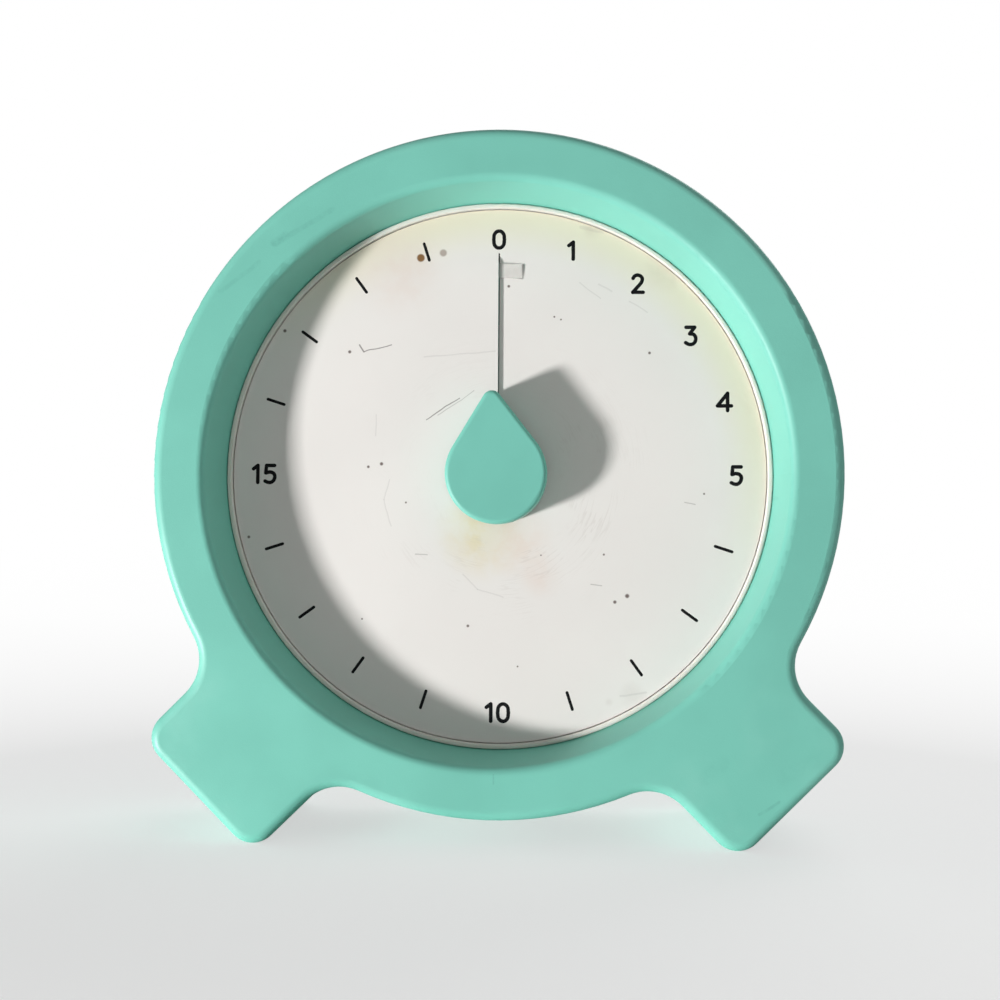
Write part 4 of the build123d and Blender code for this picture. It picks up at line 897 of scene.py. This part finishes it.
tree, shader = new_finish("dial_ink", Specular_IOR_Level=0.15)
surface = use(tree, skin, grain_size=0.0002, drift_size=0.0014)
thinned = ramp(tree, surface["Drift"], 0.55, 0.75, 0.0, 0.5)
feed(tree, blend_colour(tree, thinned, INK_BLACK, THIN_INK), shader["Base Color"])
feed(tree, ramp(tree, surface["Drift"], *GLOSS_DRIFT, 0.55, 0.70), shader["Roughness"])
bump(tree, shader, surface["Height"], depth=0.00001, strength=0.5)
dial_print.data.materials.clear()
dial_print.data.materials.append(finishes["dial_ink"])

# %% [markdown]
# ### The metals of the movement
#
# The clockwork behind the dial is stamped brass wheels, turned brass pillars, zinc-plated
# plates, polished arbors and blued springs. One function makes them all, from a colour, a
# tarnished colour, a roughness and the direction of the tool marks.

# %% Finishes: metals
TARNISH_DULLNESS = 0.16     # how much rougher tarnish is


def metal(slot, colour, tarnished, roughness, grain_size, stretch):
    tree, shader = new_finish(slot, Metallic=1.0)
    surface = use(tree, worked, grain_size=grain_size, stretch=stretch)
    dull = ramp(tree, surface["Tarnish"], 0.42, 0.72)
    feed(tree, blend_colour(tree, dull, colour, tarnished), shader["Base Color"])
    worn = ramp(tree, surface["Tarnish"], 0.35, 0.75, roughness, roughness + TARNISH_DULLNESS)
    feed(tree, worn, shader["Roughness"])
    bump(tree, shader, surface["Height"], depth=0.000015, strength=0.45)


ROLLED = (1.0, 12.0, 12.0)
TURNED = (1.0, 14.0, 1.0)
EVEN = (1.0, 1.0, 1.0)
BRASS, DULL_BRASS = (0.78, 0.56, 0.24, 1.0), (0.52, 0.36, 0.16, 1.0)
STEEL, DULL_STEEL = (0.58, 0.58, 0.60, 1.0), (0.42, 0.42, 0.42, 1.0)
ZINC, DULL_ZINC = (0.66, 0.67, 0.68, 1.0), (0.58, 0.59, 0.59, 1.0)
BLUED, DULL_BLUED = (0.10, 0.13, 0.26, 1.0), (0.16, 0.15, 0.16, 1.0)
NICKEL, DULL_NICKEL = (0.72, 0.70, 0.66, 1.0), (0.58, 0.56, 0.52, 1.0)

metal("plate_steel", ZINC, DULL_ZINC, 0.30, 0.0006, ROLLED)
metal("turned_brass", BRASS, DULL_BRASS, 0.24, 0.0004, TURNED)
metal("screw_steel", ZINC, DULL_ZINC, 0.28, 0.0003, EVEN)
metal("arbor_steel", STEEL, DULL_STEEL, 0.18, 0.0003, TURNED)
metal("wheel_brass", BRASS, DULL_BRASS, 0.28, 0.0005, ROLLED)
metal("wheel_steel", STEEL, DULL_STEEL, 0.32, 0.0005, ROLLED)
metal("spring_steel", BLUED, DULL_BLUED, 0.26, 0.0004, ROLLED)
metal("bell_metal", NICKEL, DULL_NICKEL, 0.14, 0.0006, EVEN)
print("finishes:", sorted(finishes))

# %% [markdown]
# ## Give every solid its finish
#
# The record that comes with the parts names a material slot for each of them, and each slot
# has its finish by now.

# %% Assign the finishes
for part in frame["record"]["subparts"]:
    solid = frame["nodes"][part["node"]]
    for holder in solid.material_slots:
        holder.material = finishes[part["material_slot"]]

# %% [markdown]
# Where a round edge turns away from a lamp, the flat facets of the mesh shade one another and
# leave steps in the shadow's edge. Cycles can start its shadow rays a little off such facets,
# which hides the steps and changes no mesh.

# %% Hide the facets in the shadow's edge
FACET_OFFSET = 0.7
for node in ("front_case", "rear_case", "knob"):
    frame["nodes"][node].cycles.shadow_terminator_geometry_offset = FACET_OFFSET

# %% [markdown]
# ## The stage
#
# A plain pale floor that curves up into a backdrop behind the timer has no corner and no
# horizon. It starts as a plane. Its back edge is extruded up, and the fold is bevelled wide.

# %% Floor and backdrop
FLOOR_HALF = 1.6
BACKDROP_HEIGHT = 2.4
SWEEP_RADIUS = 0.9
SWEEP_STEPS = 24
CLOSE = 0.01                # how close a corner has to be to count as on the edge

bpy.ops.object.select_all(action="DESELECT")
bpy.ops.mesh.primitive_plane_add(size=2 * FLOOR_HALF, location=(0, 0, cad_low.z))
floor = bpy.context.object
floor.name = "floor_sweep"
bpy.ops.object.transform_apply(location=True, rotation=True, scale=True)
bpy.ops.object.mode_set(mode="EDIT")
bpy.ops.mesh.select_mode(type="EDGE")
bpy.ops.mesh.select_all(action="DESELECT")
bpy.ops.object.mode_set(mode="OBJECT")


def corners(edge):
    return [floor.data.vertices[index].co for index in edge.vertices]


def at_back(edge):
    return all(corner.y > FLOOR_HALF - CLOSE for corner in corners(edge))


for edge in floor.data.edges:
    edge.select = at_back(edge)
bpy.ops.object.mode_set(mode="EDIT")
bpy.ops.mesh.extrude_region_move(TRANSFORM_OT_translate={"value": (0, 0, BACKDROP_HEIGHT)})
bpy.ops.mesh.select_all(action="DESELECT")
bpy.ops.object.mode_set(mode="OBJECT")
for edge in floor.data.edges:
    edge.select = at_back(edge) and all(corner.z < CLOSE for corner in corners(edge))
bpy.ops.object.mode_set(mode="EDIT")
bpy.ops.mesh.bevel(offset=SWEEP_RADIUS, segments=SWEEP_STEPS, affect="EDGES")
bpy.ops.object.mode_set(mode="OBJECT")
only(floor)
bpy.ops.object.shade_smooth()
print("floor faces:", len(floor.data.polygons))

# %% [markdown]
# The floor's paint is matt and almost white. It takes the timer's shadow, and with distance the
# camera sees it turn to plain white. The share of white falls evenly with one over the
# distance, as the floor's height in the picture does, and is whole before the floor ends. It is
# added with Light Path, for the camera's rays alone, so that no extra light falls on the timer.

# %% Floor paint
FLOOR_PALE = (0.860, 0.858, 0.850, 1.0)
PLAIN_WHITE = (1.0, 1.0, 1.0, 1.0)
FLOOR_ROUGHNESS, FLOOR_GLOSS = 0.85, 0.2
SHADOW_REACH = 0.14         # the floor's own light shows most up to here, in metres
WHITE_FROM = 1.1            # and is plain white from here on
FLOOR_LIFT = 0.60           # share of white close to the timer

paint = bpy.data.materials.new("floor_paint")
paint.use_nodes = True
tree = paint.node_tree
painted = tree.nodes["Principled BSDF"]
surface = use(tree, skin, grain_size=0.002, drift_size=0.4)
pale = blend_colour(tree, surface["Drift"], shade(FLOOR_PALE, 0.99), shade(FLOOR_PALE, 1.01))
feed(tree, pale, painted.inputs["Base Color"])
painted.inputs["Roughness"].default_value = FLOOR_ROUGHNESS
painted.inputs["Specular IOR Level"].default_value = FLOOR_GLOSS
glow = add(tree, "ShaderNodeEmission")
glow.inputs["Color"].default_value = PLAIN_WHITE
away = vectors(tree, "LENGTH", object_place(tree))
nearness = add(tree, "ShaderNodeMapRange")
for source, name in zip(
    (maths(tree, "DIVIDE", SHADOW_REACH, away), SHADOW_REACH / WHITE_FROM, 1.0, 1.0, FLOOR_LIFT),
    ("Value", "From Min", "From Max", "To Min", "To Max"),
):
    feed(tree, source, nearness.inputs[name])
far = nearness.outputs["Result"]
rays = add(tree, "ShaderNodeLightPath").outputs
seen = maths(tree, "MAXIMUM", rays["Is Camera Ray"], rays["Is Transmission Ray"])
whitened = add(tree, "ShaderNodeMixShader")
feed(tree, maths(tree, "MULTIPLY", far, seen), whitened.inputs["Fac"])
tree.links.new(painted.outputs["BSDF"], whitened.inputs[1])
tree.links.new(glow.outputs["Emission"], whitened.inputs[2])
feed(tree, whitened.outputs[0], tree.nodes["Material Output"].inputs["Surface"])
floor.data.materials.append(paint)

# %% [markdown]
# ## The light
#
# A lamp low on the left reaches into the bowl and throws its soft shadow across the dial, so
# that the depth of the bowl and the height of the knob can be read. It is so low that it would
# be under the floor, so the floor is told to throw no shadow itself. A broad lamp on the
# right, above the camera, and the sky fill the shadows. Together they light a face turned to
# the camera at about 1, so that a colour is seen about as it was written. A third lamp, high
# behind the timer, does the same for its back.

# %% Lamps
def soft_lamp(name, place, size, watts):
    """A square lamp that faces the middle of the dial."""
    data = bpy.data.lights.new(name, "AREA")
    data.shape = "SQUARE"
    data.size = size
    data.energy = watts
    lamp = bpy.data.objects.new(name, data)
    bpy.context.scene.collection.objects.link(lamp)
    lamp.location = place
    lamp.rotation_euler = (DIAL_CENTRE - Vector(place)).to_track_quat("-Z", "Y").to_euler()
    return lamp


lamps = [
    soft_lamp("key", (-0.67, -0.43, -0.215), size=0.09, watts=9.6),
    soft_lamp("fill", (0.80, -0.80, 0.95), size=1.0, watts=2.8),
    soft_lamp("behind", (0.45, 1.00, 0.95), size=1.0, watts=8.5),
]
floor.visible_shadow = False
print("lamps:", [lamp.name for lamp in lamps])

# %% [markdown]
# The sky is an even pale grey. Seen by the camera, or by a ray that has gone through a surface,
# it is plain white.

# %% Sky
SKY_LEVEL = 0.18
world = bpy.data.worlds.new("studio")
bpy.context.scene.world = world
world.use_nodes = True
tree = world.node_tree
sky = tree.nodes["Background"]
sky.inputs["Color"].default_value = PLAIN_WHITE
rays = add(tree, "ShaderNodeLightPath").outputs
seen = maths(tree, "MAXIMUM", rays["Is Camera Ray"], rays["Is Transmission Ray"])
feed(tree, ramp(tree, seen, 0.0, 1.0, SKY_LEVEL, 1.0), sky.inputs["Strength"])

# %% [markdown]
# ## The camera
#
# The timer is seen from a quarter of a metre away, close enough for the wall of the bowl to
# show more on one side than on the other. The camera stands a little to the right of the
# dial's axis and a little below its middle.

# %% Camera
CAMERA_PLACE = on_dial(13.14, -12.94, 249.36)
CAMERA_TURN = (radians(91.92), radians(-0.35), radians(2.90))
LENS = 49.8
SENSOR = 36.0
CLIP_START = 0.01

camera_data = bpy.data.cameras.new("camera")
camera_data.lens = LENS
camera_data.sensor_width = SENSOR
camera_data.clip_start = CLIP_START
camera = bpy.data.objects.new("camera", camera_data)
bpy.context.scene.collection.objects.link(camera)
camera.location = CAMERA_PLACE
camera.rotation_euler = CAMERA_TURN
bpy.context.scene.camera = camera
bpy.context.scene.view_settings.view_transform = "Standard"
print("camera mm:", [round(c / MM, 1) for c in camera.location])
